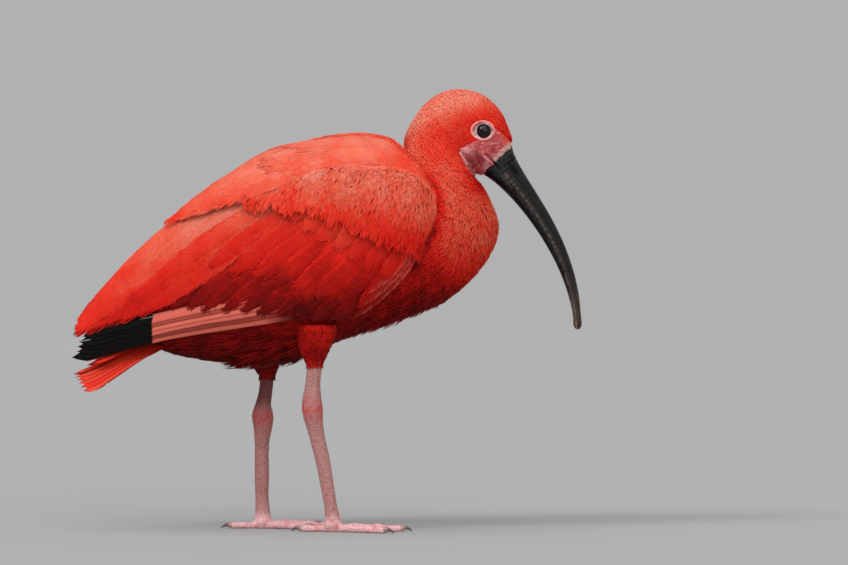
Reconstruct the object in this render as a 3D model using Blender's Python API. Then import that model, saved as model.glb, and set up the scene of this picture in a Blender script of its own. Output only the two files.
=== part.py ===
"""A scarlet ibis standing at rest, as a still, life-size museum model.

Metres, +Z up. The bird faces +X, its right side is towards -Y, and its feet rest on Z = 0.
Sizes below are millimetres, and become metres where a mesh is made.
"""

import math

import bmesh
import bpy
import numpy as np
from mathutils import Vector
from mathutils.bvhtree import BVHTree

MM = 0.001
GAP = 0.3
FLAT_ANGLE = 0.6
RIGHT, LEFT = -1, 1
SIDES = ((RIGHT, "right"), (LEFT, "left"))

# Body skin: rings from the tail root to the bill root, each from the back to the underside.
# (back x, back z, under x, under z, half width)
BODY_RINGS = (
    (-133, 161, -131, 146, 6),
    (-120, 190, -119, 136, 16.5),
    (-92, 243, -94, 130, 26.5),
    (-56, 272, -60, 127, 38.5),
    (-14, 291.5, -20, 131, 46.5),
    (22, 297.5, 22, 146, 51),
    (46, 295, 58, 159, 51),
    (59, 288, 92, 173, 46.5),
    (59.5, 290, 118, 197, 37.5),
    (60, 294, 130.5, 224, 29),
    (62, 299, 124, 248, 23.5),
    (66, 307, 114.5, 264, 20.5),
    (75, 319, 113.4, 267.2, 18.6),
    (88, 328, 114.8, 266.8, 17.6),
    (103, 330.5, 116.6, 266.2, 17.2),
    (119, 326, 118.6, 265.3, 16.4),
    (132, 314, 120.4, 264.4, 14.2),
    (139.2, 298, 121.8, 263.6, 11.8),
    (143.2, 285.5, 124.6, 259.6, 9.4),
)
RINGS_PER_STATION = 2
RING_POINTS = 24
# Where the skin is parted: a point of each cut, and the direction from tail to head across it
TAIL_CUT = ((-112, 150), (0.93, 0.36))
NECK_CUT = ((62, 288), (0.66, 0.75))
HEAD_CUT = ((112, 266), (0.62, 0.785))

EYE_AT = (119.3, 298.5)
EYE_RADIUS = 6.4
EYE_DEPTH = 11.6
# Ring of bare skin round the eye: its radius and thickness, its place from the eye's middle, the
# way it faces, and how far it stands further out than the eye's middle
LID_RADIUS, LID_THICKNESS = 8.4, 1.15
LID_AHEAD, LID_OUT = 0.4, 4.8
LID_FACING = (0.12, 0.03)

# Bill: a centreline that bends down more and more, and its depth and width along it
BILL_BASE = (130.9, 274.8)
BILL_LENGTH = 140.5
BILL_FIRST_ANGLE, BILL_TURN, BILL_BEND_POWER = 50.4, 38.5, 1.7
BILL_DIRECTION = (
    math.cos(math.radians(BILL_FIRST_ANGLE)),
    -math.sin(math.radians(BILL_FIRST_ANGLE)),
)
BILL_SECTIONS = (
    (0.0, 27.4, 16.8),
    (0.05, 23.6, 15.4),
    (0.14, 19.4, 13.2),
    (0.23, 16.9, 11.6),
    (0.35, 14.8, 10.2),
    (0.5, 12.6, 8.8),
    (0.65, 10.2, 7.4),
    (0.8, 7.9, 6.2),
    (0.93, 5.9, 5.0),
    (1.0, 3.4, 3.0),
)
BILL_STEPS = 22
BILL_POINTS = 7
# Share of the bill's depth that is the lower half, and the line of the mouth on the face
MOUTH_SHARE = 0.37
MOUTH_CORNER, MOUTH_ROOT = (120.3, 281.0), (128.6, 272.6)
MOUTH_STOPS, GROOVE_RADIUS, NOSTRIL_RADIUS = 5, 0.45, 0.75
# Nostrils: from and to along the bill, and how far over its middle
NOSTRIL = (0.04, 0.13)
NOSTRIL_RISE = 0.17
# Slits: their depth for their width, where a ray for the skin starts, and the skin if it misses
SLIT_DEPTH, FAR_OUT, SKIN_OUT = 1.6, 60.0, 12.0

# Bed of the folded wing: along the body, the height of its middle, its half height and half width
WING_BED = (
    (-200, 124, 16, 6.5),
    (-188, 131.5, 19.5, 8.5),
    (-168, 148.5, 32.5, 13.5),
    (-144, 164.5, 44.5, 20),
    (-120, 177, 53, 27),
    (-96, 188, 61, 33.5),
    (-72, 196, 68, 39.5),
    (-48, 204.5, 74.5, 44.5),
    (-24, 209.5, 78, 48.5),
    (0, 215, 78.5, 51),
    (24, 221, 75.5, 51.7),
    (45, 224.5, 70.5, 50.5),
    (62, 228, 65, 47.5),
    (76, 232, 60, 43),
    (90, 236, 54, 36),
)
# Thighs, bare shins with the heel joint, and tarsi: height, middle, depth and width, from above
THIGHS = {
    RIGHT: ((154, -5.5, 32, 27), (141, -6.4, 27, 22), (133, -6.8, 20.5, 16.5), (125.3, -6.8, 13, 10.8)),
    LEFT: ((150, -51, 44, 28), (138, -48.4, 35, 24), (126, -45.6, 24, 17), (115.3, -44, 12.8, 10.6)),
}
LEGS = {
    RIGHT: (
        (125, -6.7, 11.2, 9.4),
        (107, -8.4, 11.8, 9.6),
        (98, -8.8, 14.6, 12),
        (91, -8.4, 15.8, 13),
        (83, -7.6, 14, 11.5),
        (75, -6, 12.3, 9.2),
        (55, -1.3, 11.2, 8.2),
        (30, 3.2, 10, 7.8),
        (16, 5.6, 10, 8.6),
        (8, 7, 12.5, 11),
    ),
    LEFT: (
        (115, -44, 10.6, 9.2),
        (101, -45.6, 10.6, 9.2),
        (93, -47.2, 12.4, 11),
        (85, -47.4, 16.4, 13),
        (77, -47.2, 14.6, 11.6),
        (68, -47.8, 11.8, 9.2),
        (40, -48, 11, 8.2),
        (16, -47.6, 10.6, 8.6),
        (8, -47, 12.5, 11),
    ),
}
HEEL_UNDERSIDE = {RIGHT: 83.5, LEFT: 77.5}
HIP_OUT, FOOT_OUT = 26.0, 22.0
LEG_POINTS = 12
# Toes: direction from straight ahead, length without the claw, thickness at root and tip
TOES = ((-27, 43, 6.8, 5.0), (2, 51, 7.2, 5.0), (30, 40, 6.8, 5.0), (172, 24, 6.4, 4.8))
TOE_JOINTS = (3, 3, 2, 1)
CLAW_LENGTH = 7.5
# Tail: its root and the tip of its ridge, from the side, and half its spread
TAIL_ROOT, TAIL_TIP = (-119.5, 147), (-187, 119)
TAIL_HALF_SPREAD = 21.0
# How far the tail's edge lies under its ridge at its root, and how much further at its tip
TAIL_ROOF_DROP, TAIL_TIP_DROP = 5.0, 11.0

# Height of the wing over its bed
WING_DEPTH = ((-200, 3.0), (-140, 4.2), (-70, 5.4), (-20, 6.4), (40, 7.6), (76, 6.8), (90, 5))
# Outline of the wing's fleshy core from the side: x, lower z, upper z
WING_OUTLINE = (
    (-72, 164, 263),
    (-50, 157.5, 272.4),
    (-20, 157, 286.5),
    (10, 161, 292),
    (35, 173, 288.5),
    (52, 187, 281),
    (64, 198, 272.5),
    (74, 210, 264.5),
    (81, 223, 257.5),
    (85.5, 236, 249),
)
# The furrow under the shoulder feathers: x, z
FURROW = (
    (-46, 258),
    (-5, 269),
    (14, 273),
    (32, 272.5),
    (54, 270.5),
    (67, 267),
    (75.5, 262.5),
    (85.5, 250),
)
FURROW_DEPTH, FURROW_WIDTH = 3.2, 2.6
# Height of the wing's rim
WING_EDGE = 1.2
# Room left in the torso round the wing's outline: ahead, above and below it
ROOM_AHEAD, ROOM_ABOVE, ROOM_BELOW = 2.4, 9.0, 15.0
BEHIND_WING = ((-136, 133, 213), (-100, 137, 245), (-82, 142, 257))
ROOM_HEIGHT, ROOM_DEPTH = 30.0, 0.9
WING_COLUMNS, WING_ROWS = 14, 10
ROOM_COLUMNS, ROOM_ROWS = 22, 11
# Width of the wing's rim as a share of its height, and its length at the front and the back
RIM_SHARE, RIM_FRONT, RIM_BACK = 0.16, 16.0, 40.0
# Drop from the shoulder over the furrow to the wing under it
SHOULDER_DROP = 1.4

# Feathers of the wing, tier by tier from the body out. Each tier has its number of feathers, how
# far its lower edge stands out (below zero where the upper edge does), and for its first (lowest)
# and last feather the root, middle and tip from the side, the half width and the height over the
# bed at root and tip.
WING_TIERS = {
    "primaries": (
        4,
        0.2,
        ((24, 168), (-100, 151.5), (-189, 129.5), 5.2, 3.4, 1.6),
        ((10, 190), (-90, 169), (-178, 149), 5.6, 3.6, 2.4),
    ),
    "secondaries": (
        5,
        -0.1,
        ((50, 200), (34, 178), (5, 160.5), 8.4, 3.0, 4.4),
        ((-20, 236), (-60, 204), (-116, 167), 9.0, 3.2, 3.8),
    ),
    "lower_tertials": (
        4,
        0.1,
        ((-24, 238), (-76, 202), (-140, 161), 7.6, 4.4, 4.2),
        ((-28, 252), (-94, 210), (-186, 147.5), 8.0, 4.8, 3.2),
    ),
    "upper_tertials": (
        4,
        0.1,
        ((-30, 256), (-98, 214), (-187, 148.5), 8.8, 1.5, 3.8),
        ((-38, 270), (-112, 227), (-184, 157), 8.6, 0.5, 3.4),
    ),
    "greater_coverts": (
        4,
        -0.09,
        ((58, 210), (47, 190), (27, 170), 8.2, 3.8, 6.2),
        ((-2, 250), (-34, 230), (-84, 197), 9.0, 4.0, 5.4),
    ),
    "median_coverts": (
        4,
        -0.08,
        ((66, 222), (58, 208), (44, 191), 8.0, 4.0, 7.6),
        ((22, 260), (2, 249), (-30, 229), 8.6, 3.6, 6.6),
    ),
    "scapulars": (
        4,
        0.1,
        ((40, 272), (-14, 266), (-88, 238), 7.6, 3.4, 6.4),
        ((10, 290.5), (-44, 279), (-120, 225), 7.6, 1.6, 5.0),
    ),
    "mantle": (
        3,
        0.12,
        ((80, 255), (44, 276), (-50, 262), 6.6, 2.0, 7.4),
        ((60, 279), (30, 290), (-34, 284), 7.0, 1.0, 4.6),
    ),
    "front_feathers": (
        2,
        0.1,
        ((74, 216), (54, 190), (20, 160.5), 5.0, 3.0, 4.6),
        ((72, 226), (57, 204), (32, 180), 5.4, 4.0, 7.4),
    ),
}
SHORT_TIERS = ("greater_coverts", "median_coverts", "front_feathers")
# Rows of a feather: how far along it, and how wide there
LONG_ROWS = ((0, 0.6), (0.34, 0.85), (0.64, 1.0), (0.88, 0.84), (1.0, 0.3))
SHORT_ROWS = ((0, 0.7), (0.5, 1.0), (0.84, 0.86), (1.0, 0.32))
# Share of a feather's length over which its direction is taken
PATH_STEP = 0.02
VANE_CROWN = 0.2
VANE_THICKNESS = 0.75
TAIL_PAIRS = 6
TAIL_STEP = 1.05
TAIL_HALF_VANE = 4.6


def smooth(stations, where):
    """Rows at the positions in where, on a smooth curve through (position, value, ...) stations."""
    table = np.array(stations, float)
    at, values = table[:, 0], table[:, 1:]
    slopes = np.gradient(values, at, axis=0)
    where = np.clip(np.atleast_1d(np.asarray(where, float)), at[0], at[-1])
    i = np.clip(np.searchsorted(at, where, side="right") - 1, 0, len(at) - 2)
    span = (at[i + 1] - at[i])[:, None]
    t = (where[:, None] - at[i][:, None]) / span
    return (
        values[i] * (2 * t**3 - 3 * t**2 + 1)
        + slopes[i] * span * (t**3 - 2 * t**2 + t)
        + values[i + 1] * (3 * t**2 - 2 * t**3)
        + slopes[i + 1] * span * (t**3 - t**2)
    )


def material(name, colour, roughness):
    """A plain finish, made once for each name."""
    made = bpy.data.materials.get(name) or bpy.data.materials.new(name)
    made.use_nodes = True
    shader = made.node_tree.nodes["Principled BSDF"]
    shader.inputs["Base Color"].default_value = (*colour, 1)
    shader.inputs["Roughness"].default_value = roughness
    shader.inputs["Metallic"].default_value = 0
    return made


FINISHES = {
    "plumage": ((0.72, 0.045, 0.022), 0.75),
    "horn": ((0.035, 0.033, 0.036), 0.42),
    "bare_skin": ((0.62, 0.27, 0.24), 0.6),
    "eye": ((0.012, 0.008, 0.008), 0.12),
    "claw": ((0.14, 0.09, 0.08), 0.45),
}


def node(name, points, faces, finish):
    """One object of the bird from points in millimetres."""
    mesh = bpy.data.meshes.new(name)
    mesh.from_pydata([tuple(p * MM) for p in np.asarray(points, float)], [], faces)
    mesh.shade_smooth()
    mesh.set_sharp_from_angle(angle=math.radians(40))
    made = bpy.data.objects.new(name, mesh)
    made.data.materials.append(material(finish, *FINISHES[finish]))
    bpy.context.scene.collection.objects.link(made)
    return made


def tube(rings):
    """A closed body through rings of points, with flat ends."""
    rings = np.asarray(rings, float)
    count, around = rings.shape[:2]
    faces = [tuple(range(around - 1, -1, -1))]
    for i in range(count - 1):
        for j in range(around):
            a, b = i * around + j, i * around + (j + 1) % around
            faces.append((a, b, b + around, a + around))
    faces.append(tuple(range((count - 1) * around, count * around)))
    return rings.reshape(-1, 3), faces


def slab(outer, inner):
    """A closed shell between two grids of points, split into triangles alike on both."""
    rows, columns = outer.shape[:2]
    points = np.concatenate([outer.reshape(-1, 3), inner.reshape(-1, 3)])
    under = rows * columns
    faces = []
    for i in range(rows - 1):
        for j in range(columns - 1):
            a = i * columns + j
            b, c, d = a + 1, a + columns + 1, a + columns
            for p, q, r in ((a, b, c), (a, c, d)):
                faces.append((p, q, r))
                faces.append((r + under, q + under, p + under))
    rim = [(0, j) for j in range(columns - 1)]
    rim += [(i, columns - 1) for i in range(rows - 1)]
    rim += [(rows - 1, j) for j in range(columns - 1, 0, -1)]
    rim += [(i, 0) for i in range(rows - 1, 0, -1)]
    edge = [i * columns + j for i, j in rim]
    for a, b in zip(edge, edge[1:] + edge[:1]):
        faces.append((b, a, a + under))
        faces.append((b, a + under, b + under))
    return points, faces


def outward(points, faces):
    """The same body with its faces pointing out."""
    volume = 0.0
    for face in faces:
        a = points[face[0]]
        for q, r in zip(face[1:-1], face[2:]):
            volume += np.dot(a, np.cross(points[q], points[r]))
    return (points, faces) if volume > 0 else (points, [face[::-1] for face in faces])


def mirrored(points, faces):
    """The same body on the other side of the bird."""
    return points * np.array([1, -1, 1]), [face[::-1] for face in faces]


def helper(name, points, faces, collection):
    """A piece that a union or a cut uses up."""
    made = node(name, *outward(points, faces), "plumage")
    bpy.context.scene.collection.objects.unlink(made)
    collection.objects.link(made)
    return made


def largest_surface(mesh):
    """Keeps only the mesh's largest closed surface."""
    work = bmesh.new()
    work.from_mesh(mesh)
    bmesh.ops.remove_doubles(work, verts=work.verts, dist=1e-7)
    bmesh.ops.dissolve_limit(
        work, angle_limit=math.radians(FLAT_ANGLE), verts=work.verts, edges=work.edges
    )
    bmesh.ops.triangulate(work, faces=work.faces)
    todo, shells = set(work.faces), []
    while todo:
        stack, shell = [todo.pop()], []
        while stack:
            face = stack.pop()
            shell.append(face)
            near = {f for e in face.edges for f in e.link_faces} & todo
            todo -= near
            stack.extend(near)
        shells.append(shell)

    def size(shell):
        corners = [[v.co for v in face.verts] for face in shell]
        return abs(sum(a.dot(b.cross(c)) for a, b, c in corners))

    keep = set(max(shells, key=size))
    bmesh.ops.delete(work, geom=[f for f in work.faces if f not in keep], context="FACES")
    work.to_mesh(mesh)
    work.free()


def combine(base, pieces, operation, solver="EXACT"):
    """Joins pieces to base, or cuts them from it, and applies the result."""
    group = bpy.data.collections.new("working")
    bpy.context.scene.collection.children.link(group)
    for i, (points, faces) in enumerate(pieces):
        helper(f"working_{i}", points, faces, group)
    cut = base.modifiers.new("combine", "BOOLEAN")
    cut.operation = operation
    cut.operand_type = "COLLECTION"
    cut.collection = group
    cut.solver = solver
    bpy.context.view_layer.update()
    graph = bpy.context.evaluated_depsgraph_get()
    mesh = bpy.data.meshes.new_from_object(base.evaluated_get(graph))
    base.modifiers.clear()
    base.data = mesh
    for made in list(group.objects):
        bpy.data.objects.remove(made)
    bpy.data.collections.remove(group)
    largest_surface(base.data)
    base.data.shade_smooth()
    base.data.set_sharp_from_angle(angle=math.radians(40))
    return base


def body_skin():
    """The whole skin of torso, neck and head as one closed body."""
    stations = [(i, *ring) for i, ring in enumerate(BODY_RINGS)]
    where = np.linspace(0, len(BODY_RINGS) - 1, (len(BODY_RINGS) - 1) * RINGS_PER_STATION + 1)
    around = np.arange(RING_POINTS) * 2 * math.pi / RING_POINTS
    rings = []
    for back_x, back_z, under_x, under_z, half in smooth(stations, where):
        middle = np.array([(back_x + under_x) / 2, 0, (back_z + under_z) / 2])
        rise = np.array([(back_x - under_x) / 2, 0, (back_z - under_z) / 2])
        ring = [middle + rise * math.cos(a) + np.array([0, half * math.sin(a), 0]) for a in around]
        rings.append(ring)
    return tube(rings)


def cut_skin(name, points, faces, cuts, finish):
    """The part of the skin on the kept side of each (point, direction) cut, with half a gap off each."""
    made = node(name, *outward(points, faces), finish)
    work = bmesh.new()
    work.from_mesh(made.data)
    for (x, z), (dx, dz), keep in cuts:
        away = Vector((dx, 0, dz)).normalized() * keep
        at = Vector((x, 0, z)) + away * GAP / 2
        bmesh.ops.bisect_plane(
            work,
            geom=work.verts[:] + work.edges[:] + work.faces[:],
            plane_co=at * MM,
            plane_no=-away,
            clear_outer=True,
        )
        bmesh.ops.holes_fill(work, edges=[e for e in work.edges if e.is_boundary])
    bmesh.ops.recalc_face_normals(work, faces=work.faces)
    work.to_mesh(made.data)
    work.free()
    made.data.shade_smooth()
    made.data.set_sharp_from_angle(angle=math.radians(40))
    return made


def bed(x, angle, height=0.0, least=GAP / 2):
    """A point over the wing's bed: along the body, round it from the middle up, and off it."""
    middle, tall, wide = smooth(WING_BED, x)[0]
    normal = np.array([0, math.cos(angle) / wide, math.sin(angle) / tall])
    normal /= np.linalg.norm(normal)
    point = np.array([x, wide * math.cos(angle), middle + tall * math.sin(angle)]) + normal * height
    return np.array([point[0], -max(point[1], least), point[2]])


def bed_angle(x, z):
    """The angle round the bed at which its surface is at this height."""
    middle, tall, _ = smooth(WING_BED, x)[0]
    return math.asin(min(max((z - middle) / tall, -0.995), 0.995))


def depth_at(x):
    """How far the wing stands over its bed."""
    return smooth(WING_DEPTH, x)[0][0]


def wing_patch(outline, columns, across, over, under, least=GAP / 2):
    """A closed shell inside a side outline, between two heights over the bed."""
    outer, inner = [], []
    for share in np.linspace(0, 1, columns):
        x = outline[-1][0] - (outline[-1][0] - outline[0][0]) * (1 - share) ** 1.35
        low, high = smooth(outline, x)[0]
        first, last = bed_angle(x, low), bed_angle(x, high)
        middle, tall, _ = smooth(WING_BED, x)[0]
        rows = [], []
        for v in np.linspace(0, 1, across):
            angle = first + (last - first) * v
            z = middle + tall * math.sin(angle)
            rows[0].append(bed(x, angle, over(x, z, v), least))
            rows[1].append(bed(x, angle, under, least))
        outer.append(rows[0])
        inner.append(rows[1])
    return slab(np.array(outer), np.array(inner))


def wing_height(x, z, v):
    """The core's height over its bed: full in its middle, thin at its rim, with the furrow."""
    front, back = WING_OUTLINE[-1][0], WING_OUTLINE[0][0]
    end = math.sqrt(min(1.0, max(0.0, (front - x) / RIM_FRONT)))
    start = math.sqrt(min(1.0, max(0.0, (x - back) / RIM_BACK)))
    bulge = math.sqrt(min(1.0, max(0.0, min(v, 1 - v) / RIM_SHARE))) * end * start
    over = z - smooth(FURROW, x)[0][0]
    furrow = FURROW_DEPTH * math.exp(-((over / FURROW_WIDTH) ** 2))
    shoulder = SHOULDER_DROP / (1 + math.exp(-over))
    return WING_EDGE + (depth_at(x) - WING_EDGE - furrow - shoulder) * bulge


def bed_place(stops, share):
    """The place along the body and round the bed, part of the way through three stops."""
    x, z = smooth([(k / 2, *stop) for k, stop in enumerate(stops)], share)[0]
    return x, bed_angle(x, z)


def wing_vane(stops, half, root_height, tip_height, rows_along, tilt):
    """One feather over the bed, as a thin closed blade with one edge further out."""
    outer, inner = [], []
    for share, narrow in rows_along:
        x, angle = bed_place(stops, share)
        ahead_x, ahead_angle = bed_place(stops, share + PATH_STEP)
        back_x, back_angle = bed_place(stops, share - PATH_STEP)
        _, tall, wide = smooth(WING_BED, x)[0]
        speed = math.hypot(wide * math.sin(angle), tall * math.cos(angle))
        run = np.array([ahead_x - back_x, (ahead_angle - back_angle) * speed])
        run /= np.linalg.norm(run)
        base = root_height + (tip_height - root_height) * share
        thick = VANE_THICKNESS * (1 - 0.35 * share**3)
        rows = [], []
        for across in (-1, 1):
            step = across * half * narrow
            height = base - tilt * step
            spot = x + step * run[1], angle - step * run[0] / speed
            rows[0].append(bed(*spot, height + thick / 2))
            rows[1].append(bed(*spot, height - thick / 2))
        outer.append(rows[0])
        inner.append(rows[1])
    return outward(*slab(np.array(outer), np.array(inner)))


def wing_feathers():
    """All the wing's feathers, tier by tier."""
    chance = np.random.default_rng(4)
    made = []
    for tier, (count, tilt, first, last) in WING_TIERS.items():
        rows_along = SHORT_ROWS if tier in SHORT_TIERS else LONG_ROWS
        for share in np.linspace(0, 1, count):
            stops = [np.array(a) + (np.array(b) - a) * share for a, b in zip(first[:3], last[:3])]
            sizes = [a + (b - a) * share for a, b in zip(first[3:], last[3:])]
            stops[2] = stops[2] + (stops[2] - stops[1]) * chance.uniform(-0.02, 0.02)
            sizes[0] *= chance.uniform(0.95, 1.05)
            made.append(wing_vane(stops, *sizes, rows_along, tilt))
    return made


def wings(torso_cutters):
    """Both folded wings, and for each the block that the torso makes room for."""
    core = wing_patch(WING_OUTLINE, WING_COLUMNS, WING_ROWS, wing_height, 0.0)
    feathers = wing_feathers()
    for side, word in SIDES:
        body = core if side == RIGHT else mirrored(*core)
        made = node(f"wing_{word}", *outward(*body), "plumage")
        pieces = [f if side == RIGHT else mirrored(*f) for f in feathers]
        combine(made, pieces, "UNION", "MANIFOLD")
    wider = [(x, low - ROOM_BELOW, high + ROOM_ABOVE) for x, low, high in WING_OUTLINE]
    wider[-1] = (wider[-1][0] + ROOM_AHEAD, *wider[-1][1:])
    outline = BEHIND_WING + tuple(wider)
    room = wing_patch(
        outline, ROOM_COLUMNS, ROOM_ROWS, lambda x, z, v: ROOM_HEIGHT, -ROOM_DEPTH, GAP / 4
    )
    torso_cutters += [room, mirrored(*room)]


def bill_frame(share):
    """A point of the bill's centreline and the direction of its top there."""
    steps = 48
    at = np.array([BILL_BASE[0], 0.0, BILL_BASE[1]])
    at[[0, 2]] += np.array(BILL_DIRECTION) * GAP / 2
    for k in range(steps):
        s = share * (k + 0.5) / steps
        angle = math.radians(-BILL_FIRST_ANGLE - BILL_TURN * s**BILL_BEND_POWER)
        at = at + np.array([math.cos(angle), 0, math.sin(angle)]) * BILL_LENGTH * share / steps
    angle = math.radians(-BILL_FIRST_ANGLE - BILL_TURN * share**BILL_BEND_POWER)
    return at, np.array([-math.sin(angle), 0, math.cos(angle)])


def bill_half(upper):
    """The upper or lower half of the bill, split along the line of the mouth."""
    rings = []
    sign = 1 if upper else -1
    for share in np.linspace(0, 1, BILL_STEPS) ** 1.15:
        at, up = bill_frame(share)
        tall, wide = smooth(BILL_SECTIONS, share)[0]
        reach = tall * (1 - MOUTH_SHARE if upper else MOUTH_SHARE)
        mouth = at + up * tall * (MOUTH_SHARE - 0.5)
        ring = []
        for k in range(BILL_POINTS + 1):
            a = math.pi * k / BILL_POINTS
            groove = 1 - 0.07 * math.exp(-(((abs(a - math.pi / 2) - 0.85) / 0.25) ** 2)) * upper
            ring.append(
                mouth
                + up * sign * (GAP / 2 + reach * groove * math.sin(a) ** 0.85)
                + np.array([0, wide / 2 * math.cos(a), 0]) * groove
            )
        rings.append(ring)
    return outward(*tube(rings))


def ball(centre, radius, rings=8, around=14, axis=1):
    """A closed ball with its poles on one axis."""
    rows = []
    for i in range(1, rings):
        a = math.pi * i / rings
        row = []
        for j in range(around):
            b = 2 * math.pi * j / around
            p = [radius * math.sin(a) * math.cos(b), radius * math.sin(a) * math.sin(b)]
            p.insert(axis, radius * math.cos(a))
            row.append(np.array(centre) + p)
        rows.append(row)
    return outward(*tube(rows))


def lid_ring(centre, radius, thickness, facing, around=16, section=6):
    """A closed ring, such as a lid, round an axis."""
    facing = np.array(facing, float) / np.linalg.norm(facing)
    first = np.cross(facing, [0, 0, 1.0])
    first /= np.linalg.norm(first)
    second = np.cross(facing, first)
    points, faces = [], []
    for i in range(around):
        a = 2 * math.pi * i / around
        out = first * math.cos(a) + second * math.sin(a)
        for j in range(section):
            b = 2 * math.pi * j / section
            spot = out * (radius + thickness * math.cos(b)) + facing * thickness * math.sin(b)
            points.append(np.array(centre) + spot)
    for i in range(around):
        for j in range(section):
            a, b = i * section + j, i * section + (j + 1) % section
            c, d = (
                ((i + 1) % around) * section + (j + 1) % section,
                ((i + 1) % around) * section + j,
            )
            faces.append((a, b, c, d))
    return outward(np.array(points), faces)


def slit(made, stops, radius, side):
    """A thin groove cut into one side of an object along stops given from the side."""
    tree = BVHTree.FromPolygons(
        [v.co / MM for v in made.data.vertices], [p.vertices[:] for p in made.data.polygons]
    )
    run = np.array(stops[-1]) - np.array(stops[0])
    across = np.array([-run[1], 0, run[0]]) / np.linalg.norm(run)
    rings, surface = [], side * SKIN_OUT
    for x, z in stops:
        hit = tree.ray_cast(Vector((x, side * FAR_OUT, z)), Vector((0, -side, 0)))[0]
        surface = hit.y if hit else surface
        ring = []
        for k in range(6):
            a = 2 * math.pi * k / 6
            out = np.array([0, side * math.sin(a) * SLIT_DEPTH, 0])
            ring.append(np.array([x, surface, z]) + (across * math.cos(a) + out) * radius)
        rings.append(ring)
    return outward(*tube(rings))


def head_and_bill(skin):
    """Head with lids and eye sockets, both eyes, and the two halves of the bill."""
    root = (BILL_BASE, BILL_DIRECTION, -1)
    head = cut_skin("head", *skin, [(*HEAD_CUT, 1), root], "plumage")
    sockets, lids = [], []
    for side, word in SIDES:
        centre = (EYE_AT[0], side * EYE_DEPTH, EYE_AT[1])
        facing = np.array([LID_FACING[0], side, LID_FACING[1]])
        middle = (EYE_AT[0] + LID_AHEAD, side * (EYE_DEPTH + LID_OUT), EYE_AT[1])
        lids.append(lid_ring(middle, LID_RADIUS, LID_THICKNESS, facing))
        sockets.append(ball(centre, EYE_RADIUS + GAP))
        node(f"eye_{word}", *ball(centre, EYE_RADIUS), "eye")
    combine(head, lids, "UNION")
    mouth = np.linspace(MOUTH_CORNER, MOUTH_ROOT, MOUTH_STOPS)
    grooves = [slit(head, mouth, GROOVE_RADIUS, side) for side, _ in SIDES]
    combine(head, sockets + grooves, "DIFFERENCE")
    upper, lower = bill_half(True), bill_half(False)
    horn = node("bill_upper", *upper, "horn")
    nostril = []
    for share in np.linspace(*NOSTRIL, 4):
        at, up = bill_frame(share)
        place = at + up * smooth(BILL_SECTIONS, share)[0][0] * NOSTRIL_RISE
        nostril.append((place[0], place[2]))
    combine(horn, [slit(horn, nostril, NOSTRIL_RADIUS, side) for side, _ in SIDES], "DIFFERENCE")
    node("bill_lower", *lower, "horn")


def leg_out(height):
    """How far a leg stands from the midline at a height."""
    share = min(max(height / 150, 0), 1)
    return FOOT_OUT + (HIP_OUT - FOOT_OUT) * share


def limb(stations, heights, side, grow=0.0):
    """A closed limb of level oval rings at these heights."""
    table = sorted(stations)
    rings = []
    for height in heights:
        middle, deep, wide = smooth(table, height)[0]
        ring = []
        for k in range(LEG_POINTS):
            a = 2 * math.pi * k / LEG_POINTS
            x = middle + (deep / 2 + grow) * math.cos(a)
            y = side * leg_out(height) + (wide / 2 + grow) * math.sin(a)
            ring.append(np.array([x, y, height]))
        rings.append(ring)
    return outward(*tube(rings))


def toe_point(side, number, along):
    """A point on a toe's middle line from above, and its direction."""
    turn = math.radians(TOES[number][0] * -side)
    way = np.array([math.cos(turn), math.sin(turn), 0])
    middle = smooth(sorted(LEGS[side]), 8)[0][0]
    return np.array([middle, side * FOOT_OUT, 0]) + way * along, way


def toe(side, number):
    """One toe from inside the foot's pad to the root of its claw, flat underneath."""
    _, length, thick, thin = TOES[number]
    rings = []
    for along in np.linspace(0, length, 8 if number < 3 else 5):
        share = along / length
        at, way = toe_point(side, number, along)
        bump = 1 + 0.09 * math.cos(2 * math.pi * TOE_JOINTS[number] * share)
        half = (thick + (thin - thick) * share) / 2 * bump
        across = np.array([-way[1], way[0], 0])
        ring = []
        for k in range(8):
            a = 2 * math.pi * k / 8 + math.pi / 8
            height = max(half * 0.84 + half * math.sin(a), 0)
            ring.append(at + across * half * math.cos(a) + np.array([0, 0, height]))
        rings.append(ring)
    return outward(*tube(rings))


def claw(side, number):
    """A curved claw that starts just off its toe's tip."""
    _, length, _, thin = TOES[number]
    rings = []
    for share in np.linspace(0, 1, 5):
        at, way = toe_point(side, number, length + GAP + CLAW_LENGTH * share)
        across = np.array([-way[1], way[0], 0])
        half = thin / 2 * 0.78 * (1 - 0.82 * share**1.3)
        middle = thin * 0.5 + 0.9 * math.sin(math.pi * share) - (thin * 0.5 - 0.5) * share**2
        ring = []
        for k in range(6):
            a = 2 * math.pi * k / 6
            rise = np.array([0, 0, max(middle + half * 1.15 * math.sin(a), 0)])
            ring.append(at + across * half * 0.8 * math.cos(a) + rise)
        rings.append(ring)
    return outward(*tube(rings))


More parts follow.
